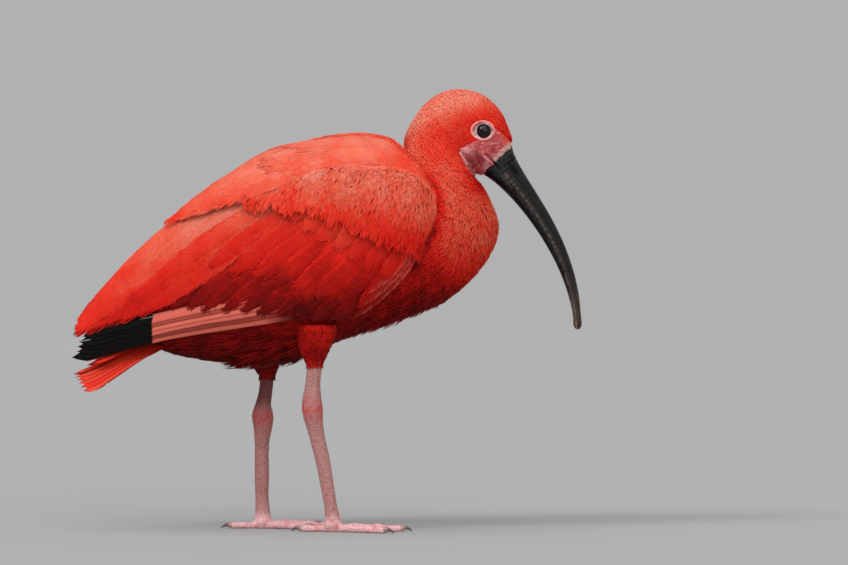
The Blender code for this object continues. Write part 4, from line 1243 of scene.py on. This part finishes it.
def tufts(shape, u, v, lie, sizes, seed, most=99.0):
    """Small feathers rooted at u and v: each a fan of thin closed barbs that follow the skin.

    lie turns each from the way that u falls, in radians. sizes gives length, width, barbs, fan,
    height of the tip over the skin and how far the skin lies under the coat. most limits how far
    along u a barb may reach.
    """
    chance = np.random.default_rng(seed)
    length, width, barbs, fan, stand, deep = sizes
    count = len(u)
    at, normal, along, round_it = on_surface(shape, u, v)
    speed_u = np.maximum(np.linalg.norm(along, axis=1), 2.0)
    speed_v = np.maximum(np.linalg.norm(round_it, axis=1), 4.0)
    length = np.broadcast_to(length, count) * chance.uniform(0.82, 1.18, count)
    width, stand = np.broadcast_to(width, count), np.broadcast_to(stand, count)
    deep, lie = np.broadcast_to(deep, count), np.broadcast_to(lie, count)
    turned = lie + chance.normal(0, 0.1, count)
    spread = np.linspace(-1, 1, barbs)
    angle = turned[:, None] + spread * fan + chance.normal(0, 0.06, (count, barbs))
    reach = length[:, None] * (1 - 0.16 * np.abs(spread)) * chance.uniform(0.86, 1.1, (count, barbs))
    reach_u = -np.minimum(reach * np.cos(angle) / speed_u[:, None], most)
    reach_v = reach * np.sin(angle) / speed_v[:, None]
    start_v = spread * width[:, None] * 0.55 / speed_v[:, None]
    path_u = u[:, None, None] + reach_u[..., None] * ROWS
    path_v = v[:, None, None] + start_v[..., None] + reach_v[..., None] * ROWS
    spot, out, _, _ = on_surface(shape, path_u.ravel(), path_v.ravel())
    spot, out = spot.reshape(count, barbs, 4, 3), out.reshape(count, barbs, 4, 3)
    loft = chance.uniform(0.88, 1.1, (count, barbs))
    bend = 1 - (1 - ROWS) ** 1.7
    root = -deep - 0.7
    rise = root[:, None, None] + (stand - root)[:, None, None] * loft[..., None] * bend
    spot = spot + out * rise[..., None]
    each = count * barbs
    half = (width[:, None] * chance.uniform(0.8, 1.15, (count, barbs))).ravel() / 2
    points, faces, normals = strands(spot.reshape(each, 4, 3), out.reshape(each, 4, 3), half)
    random = np.repeat(chance.uniform(0, 1, count), barbs) + chance.normal(0, 0.12, each)
    tone = np.repeat(tone_at(at, normal), barbs)
    patch = np.repeat(np.stack([u, v], 1), barbs, axis=0)
    values = strand_values(each, tone, random, patch)
    return {"points": points, "faces": faces, "normals": normals, **values}


# Size of one barb on the map, and the most faces that a piece may have
PATCH = 0.003
FACE_LIMIT = 190000


def coat(name, made, u_range, v_range):
    """Small feathers as pieces of at most about FACE_LIMIT faces each, mapped on an unwrap of their skin.
    """
    low, high = np.array([u_range, v_range]).T
    home = (made["patch"] - low) / (high - low)
    uv = np.clip(home, 0.002, 0.995) * 0.99 + made["where"] * PATCH
    parts = math.ceil(len(made["faces"]) / FACE_LIMIT)
    edges = np.linspace(0, len(made["faces"]) // BARB_FACES, parts + 1).astype(int)
    for k, (first, last) in enumerate(zip(edges[:-1], edges[1:])):
        rows = slice(first * BARB_POINTS, last * BARB_POINTS)
        faces = made["faces"][first * BARB_FACES : last * BARB_FACES] - first * BARB_POINTS
        own = f"{name}_{k + 1}" if parts > 1 else name
        values = {key: made[key][rows] for key in ("tone", "chance", "tip")}
        uvs, normals = {"OFBake": uv[rows][faces.ravel()]}, made["normals"][rows]
        piece = make(own, made["points"][rows], faces, (DOWN,), values=values, uvs=uvs, normals=normals)
        done(piece, "plumage")


def covered(at):
    """Whether the folded wing hides a place of the body, from either side."""
    x, z, y = at[:, 0], at[:, 2], np.abs(at[:, 1])
    low, high = smooth(WING_OUTLINE, x).T
    on = (x > -60) & (x < 78) & (z > low + 8) & (z < high - 4) & (y > 14)
    behind = (x <= -60) & (x > -118) & (z > 165) & (z < 244 + 0.55 * (x + 60)) & (y > 6)
    return on | behind


def before_wing(at):
    """1 along the wing's front edge, 0 away from it."""
    front = WING_OUTLINE[5:]
    near = edge_distance([(x, low) for x, low, _ in front] + [(85.5, 249)], at[:, 0], at[:, 2])
    above = edge_distance([(x, high) for x, _, high in front], at[:, 0], at[:, 2])
    return bell(np.minimum(near, above), 3.6) * (np.abs(at[:, 1]) > 16)


def body_coat():
    """Torso, neck and head: short on the head, longer down the body, shaggy at the vent."""
    u_range, v_range = (0.15, 17.9), (0.0, 2 * math.pi)

    def grows(at, normal):
        past, over = bill_way(at)
        on_bill = (past > -2.2) & (over > THROAT_UNDER) & (at[:, 0] > 100)
        return (~bare_at(at) & ~covered(at) & ~on_bill).astype(float)

    def size_at(at):
        head = step(46, 66, at[:, 0]) * step(220, 275, at[:, 2])
        face = head * step(92, 108, at[:, 0])
        return head, face

    def spacing(at):
        head, face = size_at(at)
        low = step(170, 140, at[:, 2])
        return 2.7 - 1.05 * head - 0.2 * face + 0.4 * low

    u, v, at, normal = scatter(body_point, u_range, v_range, spacing, grows, 11)
    head, face = size_at(at)
    vent = step(10, -40, at[:, 0]) * step(160, 138, at[:, 2])
    keel = step(20, 50, at[:, 0]) * step(184, 160, at[:, 2]) * step(0.1, -0.5, normal[:, 2])
    flank = step(24, 12, np.abs(at[:, 0] + 22)) * step(140, 146, at[:, 2]) * step(172, 160, at[:, 2])
    flank = flank * step(16, 24, np.abs(at[:, 1]))
    length = 11.4 - 4.8 * head - 1.5 * face + 13 * vent + 6 * keel + 6 * flank
    width = 1.42 - 0.4 * head - 0.16 * face + 0.1 * vent
    wisp = np.random.default_rng(13).uniform(0, 1, len(u)) ** 5
    stand = 0.3 - 0.18 * head + 1.8 * vent + (0.8 + 3.2 * wisp) * keel
    sizes = (length, width, 4, 0.24, stand, body_depth(u))
    made = tufts(body_point, u, v, 0.0, sizes, 12, 0.9)
    # Painted shade: weak at the barbs' roots, and in the groove along the folded wing's front edge.
    made["tip"] = 0.66 + 0.34 * made["tip"]
    made["tone"] = np.clip(made["tone"] - 0.02 - 0.3 * before_wing(made["points"]), 0, 1)
    coat("coat_body", made, u_range, v_range)


def vent_coat():
    """Long wisps that hang under the belly and the vent, so that its outline is ragged."""
    u_range, v_range = (0.6, 5.6), (0.0, 2 * math.pi)

    def grows(at, normal):
        x, z = at[:, 0], at[:, 2]
        return ((x > -78) & (x < 4) & (z < 146) & (normal[:, 2] < -0.1)).astype(float)

    u, v, at, _ = scatter(body_point, u_range, v_range, evenly(3.6), grows, 71)
    chance = np.random.default_rng(72)
    hang = 1.0 + 7.0 * chance.uniform(0, 1, len(u)) ** 1.6
    hang = hang * step(-84, -40, at[:, 0]) * step(6, -14, at[:, 0])
    made = tufts(body_point, u, v, 0.0, (19 + hang, 1.5, 7, 0.17, hang, 2.0), 73, 0.9)
    # Painted shade at the barbs' roots.
    made["tip"] = 0.5 + 0.5 * made["tip"]
    coat("coat_vent", made, u_range, v_range)


# Lower edge of the small coverts, from the tail end of the wing to its front: x, then z
WING_COAT_EDGE = ((-70, -40, -10, 20, 44, 58, 70, 85), (238, 242, 238, 228, 217, 211, 206, 204))


def wing_coat(side, word):
    """The fine small coverts over the front and top of the folded wing."""
    u_range, v_range = (-60.0, 84.5), (0.02, 0.98)

    def shape(u, v):
        return wing_point(u, v if side == RIGHT else 1 - v, side)

    def grows(at, normal):
        x, z = at[:, 0], at[:, 2]
        edge = np.interp(x, *WING_COAT_EDGE)
        below = z < smooth(FURROW, x)[:, 0] + 0.5
        return ((z > edge + 5 * ripple(at, 9, 24)) & below & (x > -57)).astype(float)

    u, v, at, _ = scatter(shape, u_range, v_range, evenly(2.15), grows, 21)
    lie = -0.75 - 0.3 * step(60, 84, u) + 0.3 * step(262, 280, at[:, 2])
    over = step(6, -10, at[:, 2] - np.interp(at[:, 0], (-70, -10, 44, 85), (258, 246, 224, 214)))
    sizes = (10.6 - 4.0 * over, 0.9, 4, 0.16, 0.3 + 4.6 * over, 1.2 - 4.6 * over)
    made = tufts(shape, u, v, lie * -side, sizes, 22)
    # Painted shade at the barbs' roots, kept light, and a painted highlight along the wing's front rim.
    made["tip"] = 0.7 + 0.3 * made["tip"]
    x, z = made["points"][:, 0], made["points"][:, 2]
    fade = step(26, 4, z - np.interp(x, *WING_COAT_EDGE))
    made["tone"] = np.clip(made["tone"] + 0.08 + 0.06 * before_wing(made["points"]) - 0.11 * fade, 0, 1)
    coat(f"coat_wing_{word}", made, u_range, v_range)


def thigh_coat(side, word):
    """Short feathers down the thigh, with a ragged lower edge."""
    top, bottom = THIGHS[side][0][0], THIGHS[side][-1][0]
    u_range, v_range = (bottom, top), (0.0, 2 * math.pi)

    def shape(u, v):
        return limb_point(THIGHS[side], side, u, -v)

    u, v, _, _ = scatter(shape, u_range, v_range, evenly(2.1), lambda at, normal: np.ones(len(at)), 31)
    made = tufts(shape, u, v, 0.0, (9.0, 1.1, 4, 0.2, 0.1, 1.5), 32)
    # Painted light and shade low on the thighs: the near right one lighter, the far left one darker; and
    # painted shade at the barbs' roots.
    low = step(166, 150, made["points"][:, 2]) * step(-26, -12, made["points"][:, 0])
    made["tone"] = np.clip(made["tone"] + (0.1 if side == RIGHT else -0.06) * low, 0, 1)
    made["tip"] = 0.6 + 0.4 * made["tip"]
    coat(f"coat_thigh_{word}", made, u_range, v_range)


# ---------------------------------------------------------------- large feathers

# Tiers of the folded wing. Each has its number of feathers, how far its edge stands out (below
# zero where the upper edge does), and for its first (lowest) and last feather the root, middle
# and tip from the side, half width, and height over the bed at each end.
WING_TIERS = {
    "primaries": (
        6, 0.2,
        ((24, 168), (-100, 151.5), (-189, 129.5), 4.6, 3.4, 1.6),
        ((10, 190), (-90, 169), (-178, 149), 5.0, 3.6, 2.4),
    ),
    "secondaries": (
        10, -0.1,
        ((50, 200), (34, 178), (5, 160.5), 8.0, 3.0, 4.4),
        ((-20, 236), (-60, 204), (-116, 167), 8.4, 3.2, 3.8),
    ),
    "lower_tertials": (
        5, 0.1,
        ((-24, 238), (-76, 202), (-140, 161), 7.6, 4.4, 4.2),
        ((-28, 252), (-94, 210), (-186, 147.5), 8.0, 4.8, 3.2),
    ),
    "upper_tertials": (
        5, 0.1,
        ((-30, 256), (-98, 214), (-187, 148.5), 8.8, 1.5, 3.8),
        ((-38, 270), (-112, 227), (-184, 157), 8.6, 0.5, 3.4),
    ),
    "greater_coverts": (
        8, -0.09,
        ((58, 210), (47, 190), (27, 170), 8.0, 3.8, 6.2),
        ((-2, 250), (-34, 230), (-84, 197), 8.6, 4.0, 5.4),
    ),
    "median_coverts": (
        7, -0.08,
        ((66, 222), (58, 208), (44, 191), 7.6, 4.0, 7.6),
        ((22, 260), (2, 249), (-30, 229), 8.2, 3.6, 6.6),
    ),
    "scapulars": (
        8, 0.1,
        ((40, 272), (-14, 266), (-88, 238), 7.4, 3.4, 6.4),
        ((10, 290.5), (-44, 279), (-120, 225), 7.4, 1.6, 5.0),
    ),
    "mantle": (
        5, 0.12,
        ((80, 255), (44, 276), (-38, 266), 6.6, 1.0, 5.2),
        ((60, 279), (30, 290), (-34, 284), 7.0, 0.6, 3.6),
    ),
    "front_feathers": (
        3, 0.1,
        ((74, 216), (54, 190), (20, 160.5), 5.0, 3.0, 4.6),
        ((72, 226), (57, 204), (32, 180), 5.4, 4.0, 7.4),
    ),
}
VANE_ROWS, VANE_COLUMNS = 30, 11
VANE_CROWN, VANE_THICKNESS = 0.45, 0.42
BARBS_PER_AREA = 0.42
# What the map of the barbs over large feathers spans: x, then z and y together
BARB_MAP = ((-200, 100), (20, 400))


def feather_tone(at):
    """The plumage's tone on large feathers, with its painted light and shade; they are taken to face up the
    more the higher they lie.
    """
    facing = np.zeros_like(at)
    facing[:, 2] = (at[:, 2] - 200) / 120
    return tone_at(at, facing)


def vane_width(share, blunt, chance):
    """How wide a feather is along it: narrow at its root, full, and round or pointed at its tip."""
    root = 0.55 + 0.45 * step(0, 0.45, share)
    tip = np.sqrt(np.clip(1 - np.clip((share - 1 + blunt) / blunt, 0, 1) ** 2, 0.0016, 1))
    wave = 1 + 0.012 * np.sin(share * chance.uniform(14, 22) + chance.uniform(0, 6))
    return root * tip * wave


def vane(path_point, feather, chance):
    """One feather as a thin closed blade over a surface, with its shaft, crown and a split.

    path_point gives points of the surface from the share along and the step across the feather.
    feather gives half width, height over the surface at root and tip, how blunt the tip is, and
    how the feather tilts to one side.
    """
    half, root_height, tip_height, blunt, tilt = feather
    share = 1 - (1 - np.linspace(0, 1, VANE_ROWS)) ** 1.35
    across = np.linspace(-1, 1, VANE_COLUMNS)
    narrow = vane_width(share, blunt, chance)
    s, c = np.meshgrid(share, across, indexing="ij")
    edge = np.abs(c) ** 3
    fringe = 1 + edge * chance.normal(0, 0.012, s.shape)
    at, side = chance.uniform(0.45, 0.97), chance.choice([-1, 1])
    notch = bell(s - at, 0.012) * (c * side > 0.4)
    fringe = fringe - 0.16 * notch * np.abs(c)
    stepped = c * half * narrow[:, None] * fringe
    swept = s - 0.035 * np.abs(c) ** 1.5 * s * (1 + 0.1 * chance.normal(0, 1, s.shape) * edge)
    base = root_height + (tip_height - root_height) * s
    height = base - tilt * stepped + VANE_CROWN * (1 - c**2) * (0.4 + 0.6 * s)
    height += 0.22 * bell(c, 0.07) * (1 - 0.8 * s)
    height += 0.1 * np.sin(6 * c + 9 * s + chance.uniform(0, 6)) * s
    thick = VANE_THICKNESS * (1 - 0.5 * s**3) * (1 - 0.75 * np.abs(c) ** 4)
    swept, stepped = swept.ravel(), stepped.ravel()
    top = path_point(swept, stepped, (height + thick / 2).ravel())
    low = path_point(swept, stepped, (height - thick / 2).ravel())
    return top, low, s.ravel(), c.ravel()


def barbs(path_point, feather, chance, size, lighter, random):
    """Fine barbs that lie over one feather and fray its edges, as part of a coat.

    feather is the same as for its vane. lighter is added to the plumage's tone.
    """
    half, root_height, tip_height, blunt, tilt = feather
    ends = path_point(np.array([0.0, 0.5, 1.0]), np.zeros(3), np.zeros(3))
    length = run_length(ends)
    count = int(length * half * BARBS_PER_AREA)
    s = 1 - chance.uniform(0.0, 0.85, count)
    c = chance.uniform(-1, 1, count)
    turn = np.sign(c) * chance.uniform(0.15, 0.5, count)
    reach = size * chance.uniform(0.6, 1.2, count)
    share = np.minimum(s[:, None] - ((0.5 - ROWS) * (reach * np.cos(turn) / length)[:, None]), 1)
    wide = half * vane_width(share, blunt, chance)
    stepped = (c * half * vane_width(s, blunt, chance))[:, None] + ROWS * (reach * np.sin(turn))[:, None]
    stepped = np.clip(stepped, -wide - size * 0.22, wide + size * 0.22)
    over = np.clip(stepped / wide, -1, 1)
    rise = root_height + (tip_height - root_height) * share - tilt * stepped
    rise += VANE_CROWN * (1 - over**2) * (0.4 + 0.6 * share) + VANE_THICKNESS / 2
    rise += -0.15 + chance.uniform(0.2, 0.5, (count, 1)) * ROWS
    share, stepped, rise = share.ravel(), stepped.ravel(), rise.ravel()
    spot = path_point(share, stepped, rise)
    out = unit(path_point(share, stepped, rise + 0.5) - spot).reshape(count, 4, 3)
    spot = spot.reshape(count, 4, 3)
    points, faces, normals = strands(spot, out, chance.uniform(0.16, 0.3, count))
    patch = np.stack([spot[:, 0, 0], spot[:, 0, 2] + spot[:, 0, 1]], 1)
    tone = feather_tone(spot[:, 1]) + lighter + chance.normal(0, 0.035, count)
    made = strand_values(count, tone, random + chance.normal(0, 0.15, count), patch)
    # Painted shade at the barbs' roots, kept light.
    made["tip"] = 0.5 + 0.5 * made["tip"]
    return {"points": points, "faces": faces, "normals": normals, **made}


def gathered(parts):
    """Several parts of one piece as one: their faces, and values for their points."""
    total = {key: np.concatenate([part[key] for part in parts]) for key in parts[0] if key != "faces"}
    starts = np.cumsum([0] + [len(part["points"]) for part in parts[:-1]])
    total["faces"] = np.concatenate([part["faces"] + start for part, start in zip(parts, starts)])
    return total


def vane_faces():
    """Faces of a closed blade: its upper grid, its lower one and the rim between them."""
    count = VANE_ROWS * VANE_COLUMNS
    upper = grid_faces(VANE_ROWS, VANE_COLUMNS, False)
    lower = upper[:, ::-1] + count
    top = np.arange(VANE_COLUMNS)
    right = np.arange(VANE_ROWS) * VANE_COLUMNS + VANE_COLUMNS - 1
    bottom = (VANE_ROWS - 1) * VANE_COLUMNS + top[::-1]
    left = np.arange(VANE_ROWS)[::-1] * VANE_COLUMNS
    loop = np.concatenate([top[:-1], right[:-1], bottom[:-1], left[:-1]])
    after = np.roll(loop, -1)
    rim = np.stack([after, loop, loop + count, after + count], 1)
    return np.concatenate([upper, lower, rim])


def bed_path_point(stops, side):
    """Points over the wing's bed along a feather whose stops are given from the side."""
    table = [(k / 2, x, z) for k, (x, z) in enumerate(stops)]

    def spot(share):
        x, z = smooth(table, share).T
        return x, bed_angle(x, z)

    def point(share, stepped, height):
        x, angle = spot(share)
        (ahead_x, ahead), (back_x, back) = spot(share + 0.02), spot(share - 0.02)
        _, tall, wide = smooth(WING_BED, x).T
        speed = np.hypot(wide * np.sin(angle), tall * np.cos(angle))
        run = unit(np.stack([ahead_x - back_x, (ahead - back) * speed], 1))
        return bed_point(x + stepped * run[:, 1], angle - stepped * run[:, 0] / speed, height, side)

    return point


def unmarked(s, random):
    """The marks of a feather without black, white or a tucked edge."""
    return {"chance": random, "tuck": 0, "black": 0 * s, "pale": 0 * s}


def vane_set(name, blades, *replaced):
    """Feathers as one piece, each with its own place on the map: its upper face beside its lower.

    A blade has its two faces, the place of their points along and across, tone and marks.
    """
    count = VANE_ROWS * VANE_COLUMNS
    faces = vane_faces()
    across = math.ceil(math.sqrt(len(blades) * 2.5))
    down = math.ceil(len(blades) / across)
    size, used = np.array([1 / across, 1 / down]), np.array([0.42, 0.92])
    parts = []
    for k, (top, low, s, c, tone, mark) in enumerate(blades):
        length = run_length(top.reshape(VANE_ROWS, VANE_COLUMNS, 3)[:, VANE_COLUMNS // 2])
        cell = np.array([(k % across) / across, (k // across) / down])
        spot = np.stack([(c + 1) / 2, s], 1) * used
        # The tip value carries painted shade: darker to the root and on the edge tucked under the next
        # feather.
        part = {
            "tone": tone,
            "chance": np.full(count, mark["chance"]),
            "tip": 0.55 + 0.45 * s - 0.3 * step(0.3, 1, c * mark["tuck"]),
            "black": mark["black"],
            "pale": mark["pale"],
            "vane": np.stack([c, s * length / 6], 1),
        }
        part = {key: np.concatenate([value, value]) for key, value in part.items()}
        halves = [cell + size * (np.array(corner) + spot) for corner in ((0.04, 0.04), (0.54, 0.04))]
        points = np.concatenate([top, low])
        parts.append({**part, "points": points, "faces": faces, "map": np.concatenate(halves)})
    total = gathered(parts)
    corners = total["faces"].ravel()
    values = {key: total[key] for key in ("tone", "chance", "tip", "black", "pale")}
    uvs = {"OFBake": total["map"][corners], "vane": total["vane"][corners]}
    done(make(name, total["points"], total["faces"], (VANE,), values=values, uvs=uvs), "plumage", *replaced)


# How blunt the tips of a tier are, its change of tone, and how uneven its lengths are
BLUNT = {"primaries": 0.06, "mantle": 0.4, "scapulars": 0.34, "front_feathers": 0.3, "upper_tertials": 0.3}
TIER_TONE = {
    "secondaries": -0.14, "lower_tertials": 0.12, "upper_tertials": 0.26, "greater_coverts": -0.06,
    "median_coverts": 0.0, "front_feathers": -0.06, "scapulars": 0.05, "mantle": 0.0,
}
UNEVEN = {"mantle": 0.25, "scapulars": 0.08, "median_coverts": 0.1, "greater_coverts": 0.06}
# Length of the barbs drawn over each tier
BARB_SIZE = {
    "secondaries": 4.0, "lower_tertials": 5.0, "upper_tertials": 5.0, "greater_coverts": 4.5,
    "median_coverts": 4.5, "scapulars": 6.0, "mantle": 6.0, "front_feathers": 4.0,
}
# Where the wing tips turn black, and the primary whose shaft is white there
BLACK_FROM, WHITE_SHAFT = -126.5, 3
# How pale the uncovered strip of each primary is, from the lowest
PRIMARY_PALE = (0.7, 0.25, 0.85, 0.95, 0.4, 0.85)


def wing_feathers(side, word):
    """All the large feathers of one folded wing."""
    chance = np.random.default_rng(40 + side)
    blades, coats = [], []
    for tier, (count, tilt, first, last) in WING_TIERS.items():
        for share in np.linspace(0, 1, count):
            stops = [np.array(a) + (np.array(b) - a) * share for a, b in zip(first[:3], last[:3])]
            half, root_h, tip_h = [a + (b - a) * share for a, b in zip(first[3:], last[3:])]
            uneven = UNEVEN.get(tier, 0.03)
            stops[2] = stops[2] + (stops[2] - stops[1]) * chance.uniform(-uneven, uneven)
            half *= chance.uniform(0.96, 1.06)
            point = bed_path_point(stops, side)
            feather = (half, root_h, tip_h, BLUNT.get(tier, 0.24), tilt)
            top, low, s, c = vane(point, feather, chance)
            if side == LEFT:
                top, low = low, top
            tuck, shift = np.sign(tilt), TIER_TONE.get(tier, 0)
            tone = feather_tone(top) + shift + 0.09 * step(-0.6, -1, c * tuck)
            dark, light = 0 * s, 0 * s
            if tier == "primaries":
                dark = np.clip(0.5 + (BLACK_FROM - top[:, 0] - 1.5 * np.abs(c)) / 30, 0, 1)
                number = round(share * (count - 1))
                light = PRIMARY_PALE[number] * step(-30, -38, top[:, 0]) * step(0.4, 0.15, c)
                light = np.where(top[:, 0] < BLACK_FROM - 6, number == WHITE_SHAFT, light)
                tone = tone - 0.15
            if tier == "front_feathers":
                light = 0.35 * step(0.2, -0.9, c)
            other = 0.12 if tier == "median_coverts" else 0.3
            random = chance.uniform(0.5 - other, 0.5 + other)
            mark = {"chance": random, "tuck": tuck, "black": dark, "pale": light}
            blades.append((top, low, s, c, tone, mark))
            if tier in BARB_SIZE:
                coats.append(barbs(point, feather, chance, BARB_SIZE[tier], shift + 0.02, random))
    coat(f"coat_feathers_{word}", gathered(coats), *BARB_MAP)
    vane_set(f"feathers_wing_{word}", blades, f"wing_{word}")


# Top of the back from neck to rump, and the line between the wings from the rump to the tail
RIDGE = (
    (-120, 229), (-95, 251), (-71, 267), (-48, 281.5), (-24, 288.5), (0, 294.5), (20, 296.5),
    (40, 293.5), (60, 282),
)
RUMP = ((-188, 143), (-168, 172), (-144, 200), (-120, 221), (-96, 240), (-70, 258), (-44, 274))
# Feathers laid along each line: how many, the first and last root, the shortest and longest, how
# far to either side the roots lie, the half width, and the change of tone
BACK_ROWS = (
    (RUMP, 13, (-48, -124), (54, 64), 7.0, 7.5, 0.2),
    (RIDGE, 28, (64, -68), (44, 58), 12.0, 8.0, -0.06),
)


def back_feathers():
    """Long soft feathers along the middle of the back, between and over the wings' inner edges."""
    chance = np.random.default_rng(60)
    blades, coats = [], []
    for line, count, roots, lengths, spread, width, shift in BACK_ROWS:
        for share_back in np.linspace(0, 1, count):
            root = roots[0] + (roots[1] - roots[0]) * share_back + chance.uniform(-3, 3)
            reach = chance.uniform(*lengths)
            aside = spread * chance.uniform(-1, 1)
            level = chance.uniform(-0.3, 0.3)

            def point(share, stepped, height, root=root, reach=reach, aside=aside, level=level, line=line):
                x = np.maximum(root - share * reach, line[0][0])
                ahead, back = smooth(line, x + 0.5)[:, 0], smooth(line, x - 0.5)[:, 0]
                slope = ahead - back
                y = aside * (1 + 0.25 * share) + stepped
                rise = height + level - y * y / 70
                up = unit(np.stack([-slope, np.ones_like(slope)], 1))
                return np.stack([x + up[:, 0] * rise, y, smooth(line, x)[:, 0] + up[:, 1] * rise], 1)

            feather = (width * chance.uniform(0.87, 1.13), -2.0, 0.4, 0.34, 0.0)
            top, low, s, c = vane(point, feather, chance)
            mark = unmarked(s, chance.uniform(0.3, 0.7))
            blades.append((low, top, s, c, feather_tone(top) + shift, mark))
            coats.append(barbs(point, feather, chance, 6.0, shift, mark["chance"]))
    coat("coat_back", gathered(coats), *BARB_MAP)
    vane_set("feathers_back", blades)


TAIL_PAIRS, TAIL_STEP, TAIL_HALF_VANE = 6, 1.05, 5.2
TAIL_COVERTS = 22


def tail_feathers():
    """Twelve tail feathers under a low roof, with small coverts over and under their roots."""
    chance = np.random.default_rng(50)
    blades = []

    def add(place_at, level, length, half, start=0.0, lift=0.0, blunt=0.2, shift=0.0):
        def point(share, stepped, height):
            along = start + share * length
            fan = 0.35 + 0.65 * np.minimum(along / 0.9, 1)
            across = place_at * fan + stepped / TAIL_HALF_SPREAD
            return tail_point(along, across, level + height + lift * share)

        top, low, s, c = vane(point, (half, 0, 0, blunt, 0.0), chance)
        tone = 0.56 + shift + 0.08 * s - 0.5 * step(0.965, 1, s)
        blades.append((top, low, s, c, tone, unmarked(s, chance.uniform(0.2, 0.8))))

    for pair in range(TAIL_PAIRS):
        for side in (RIGHT, LEFT):
            level = -TAIL_STEP * (pair + 1) if pair else -TAIL_STEP * (side == LEFT)
            add(side * (0.1 + 0.9 * pair / (TAIL_PAIRS - 1)) * 0.8, level, 1 - 0.008 * pair, TAIL_HALF_VANE)
    for k in range(TAIL_COVERTS):
        over = k % 2 == 0
        level, lift, shift = (1.2, 4.6, -0.05) if over else (-TAIL_STEP * (TAIL_PAIRS + 1.6), 1.0, -0.3)
        place_at = chance.uniform(-0.8, 0.8)
        length = chance.uniform(0.4, 0.62) + 0.34 * over
        add(place_at, level, length, chance.uniform(3.2, 4.4), -0.06, lift, 0.3, shift)
    vane_set("feathers_tail", blades, "tail")


def feathers():
    body_coat()
    vent_coat()
    for side, word in SIDES:
        wing_coat(side, word)
        thigh_coat(side, word)
        wing_feathers(side, word)
    back_feathers()
    tail_feathers()


# ---------------------------------------------------------------- floor, light and camera

# The photo's frame: its width in millimetres at the bird, and the place of its middle
VIEW_WIDTH = 636.0
VIEW_MIDDLE = (74.6, 0, 185.6)
CAMERA_AWAY = 3.0
SENSOR = 36.0
BACKGROUND = 0.44
FLOOR_HALF = 12.0
# Each light's strength, how wide it is in degrees, and the way it shines
LIGHTS = {
    "soft_top": (1.35, 60, (0.1, 0.3, -1)),
    "soft_front": (1.2, 60, (-0.35, 1, -0.4)),
    "window": (1.1, 16, (0.6, 0.45, -0.68)),
}


def stage():
    """A grey floor under an even grey sky, two broad soft lights and a smaller one, and the camera."""
    mesh = bpy.data.meshes.new("floor")
    around = [(FLOOR_HALF * x, FLOOR_HALF * y, 0) for x, y in ((-1, -1), (1, -1), (1, 1), (-1, 1))]
    mesh.from_pydata(around, [], [(0, 1, 2, 3)])
    floor = object_of("floor", mesh)
    made, add, give = finish("floor", 0.85, Specular_IOR_Level=0.1)
    cloud = noise(add, object_place(add), 1.5, 3)
    give("Base Color", ramp(add, cloud, ((0.3, (0.358, 0.358, 0.36, 1)), (0.7, (0.366, 0.366, 0.368, 1)))))
    mesh.materials.append(made)
    world = bpy.data.worlds.new("studio")
    bpy.context.scene.world = world
    world.use_nodes = True
    sky = world.node_tree.nodes["Background"]
    sky.inputs["Color"].default_value = (BACKGROUND, BACKGROUND, BACKGROUND * 1.01, 1)
    sky.inputs["Strength"].default_value = 1.0
    for name, (energy, spread, way) in LIGHTS.items():
        lamp = bpy.data.lights.new(name, "SUN")
        lamp.energy, lamp.angle = energy, math.radians(spread)
        light = object_of(name, lamp)
        light.rotation_mode = "QUATERNION"
        light.rotation_quaternion = Vector(way).to_track_quat("-Z", "Y")
    camera = object_of("camera", bpy.data.cameras.new("camera"))
    camera.data.sensor_width = SENSOR
    camera.data.lens = SENSOR * CAMERA_AWAY / (VIEW_WIDTH * MM)
    camera.location = Vector(place([VIEW_MIDDLE])[0]) + Vector((0, -CAMERA_AWAY, 0))
    camera.rotation_euler = (math.pi / 2, 0, 0)
    bpy.context.scene.camera = camera
    bpy.context.scene.view_settings.view_transform = "Standard"


def main():
    skin()
    bill_half(True)
    bill_half(False)
    for side, word in SIDES:
        eye(side, word)
        for number in range(4):
            claw(side, word, number)
    feathers()
    stage()


main()
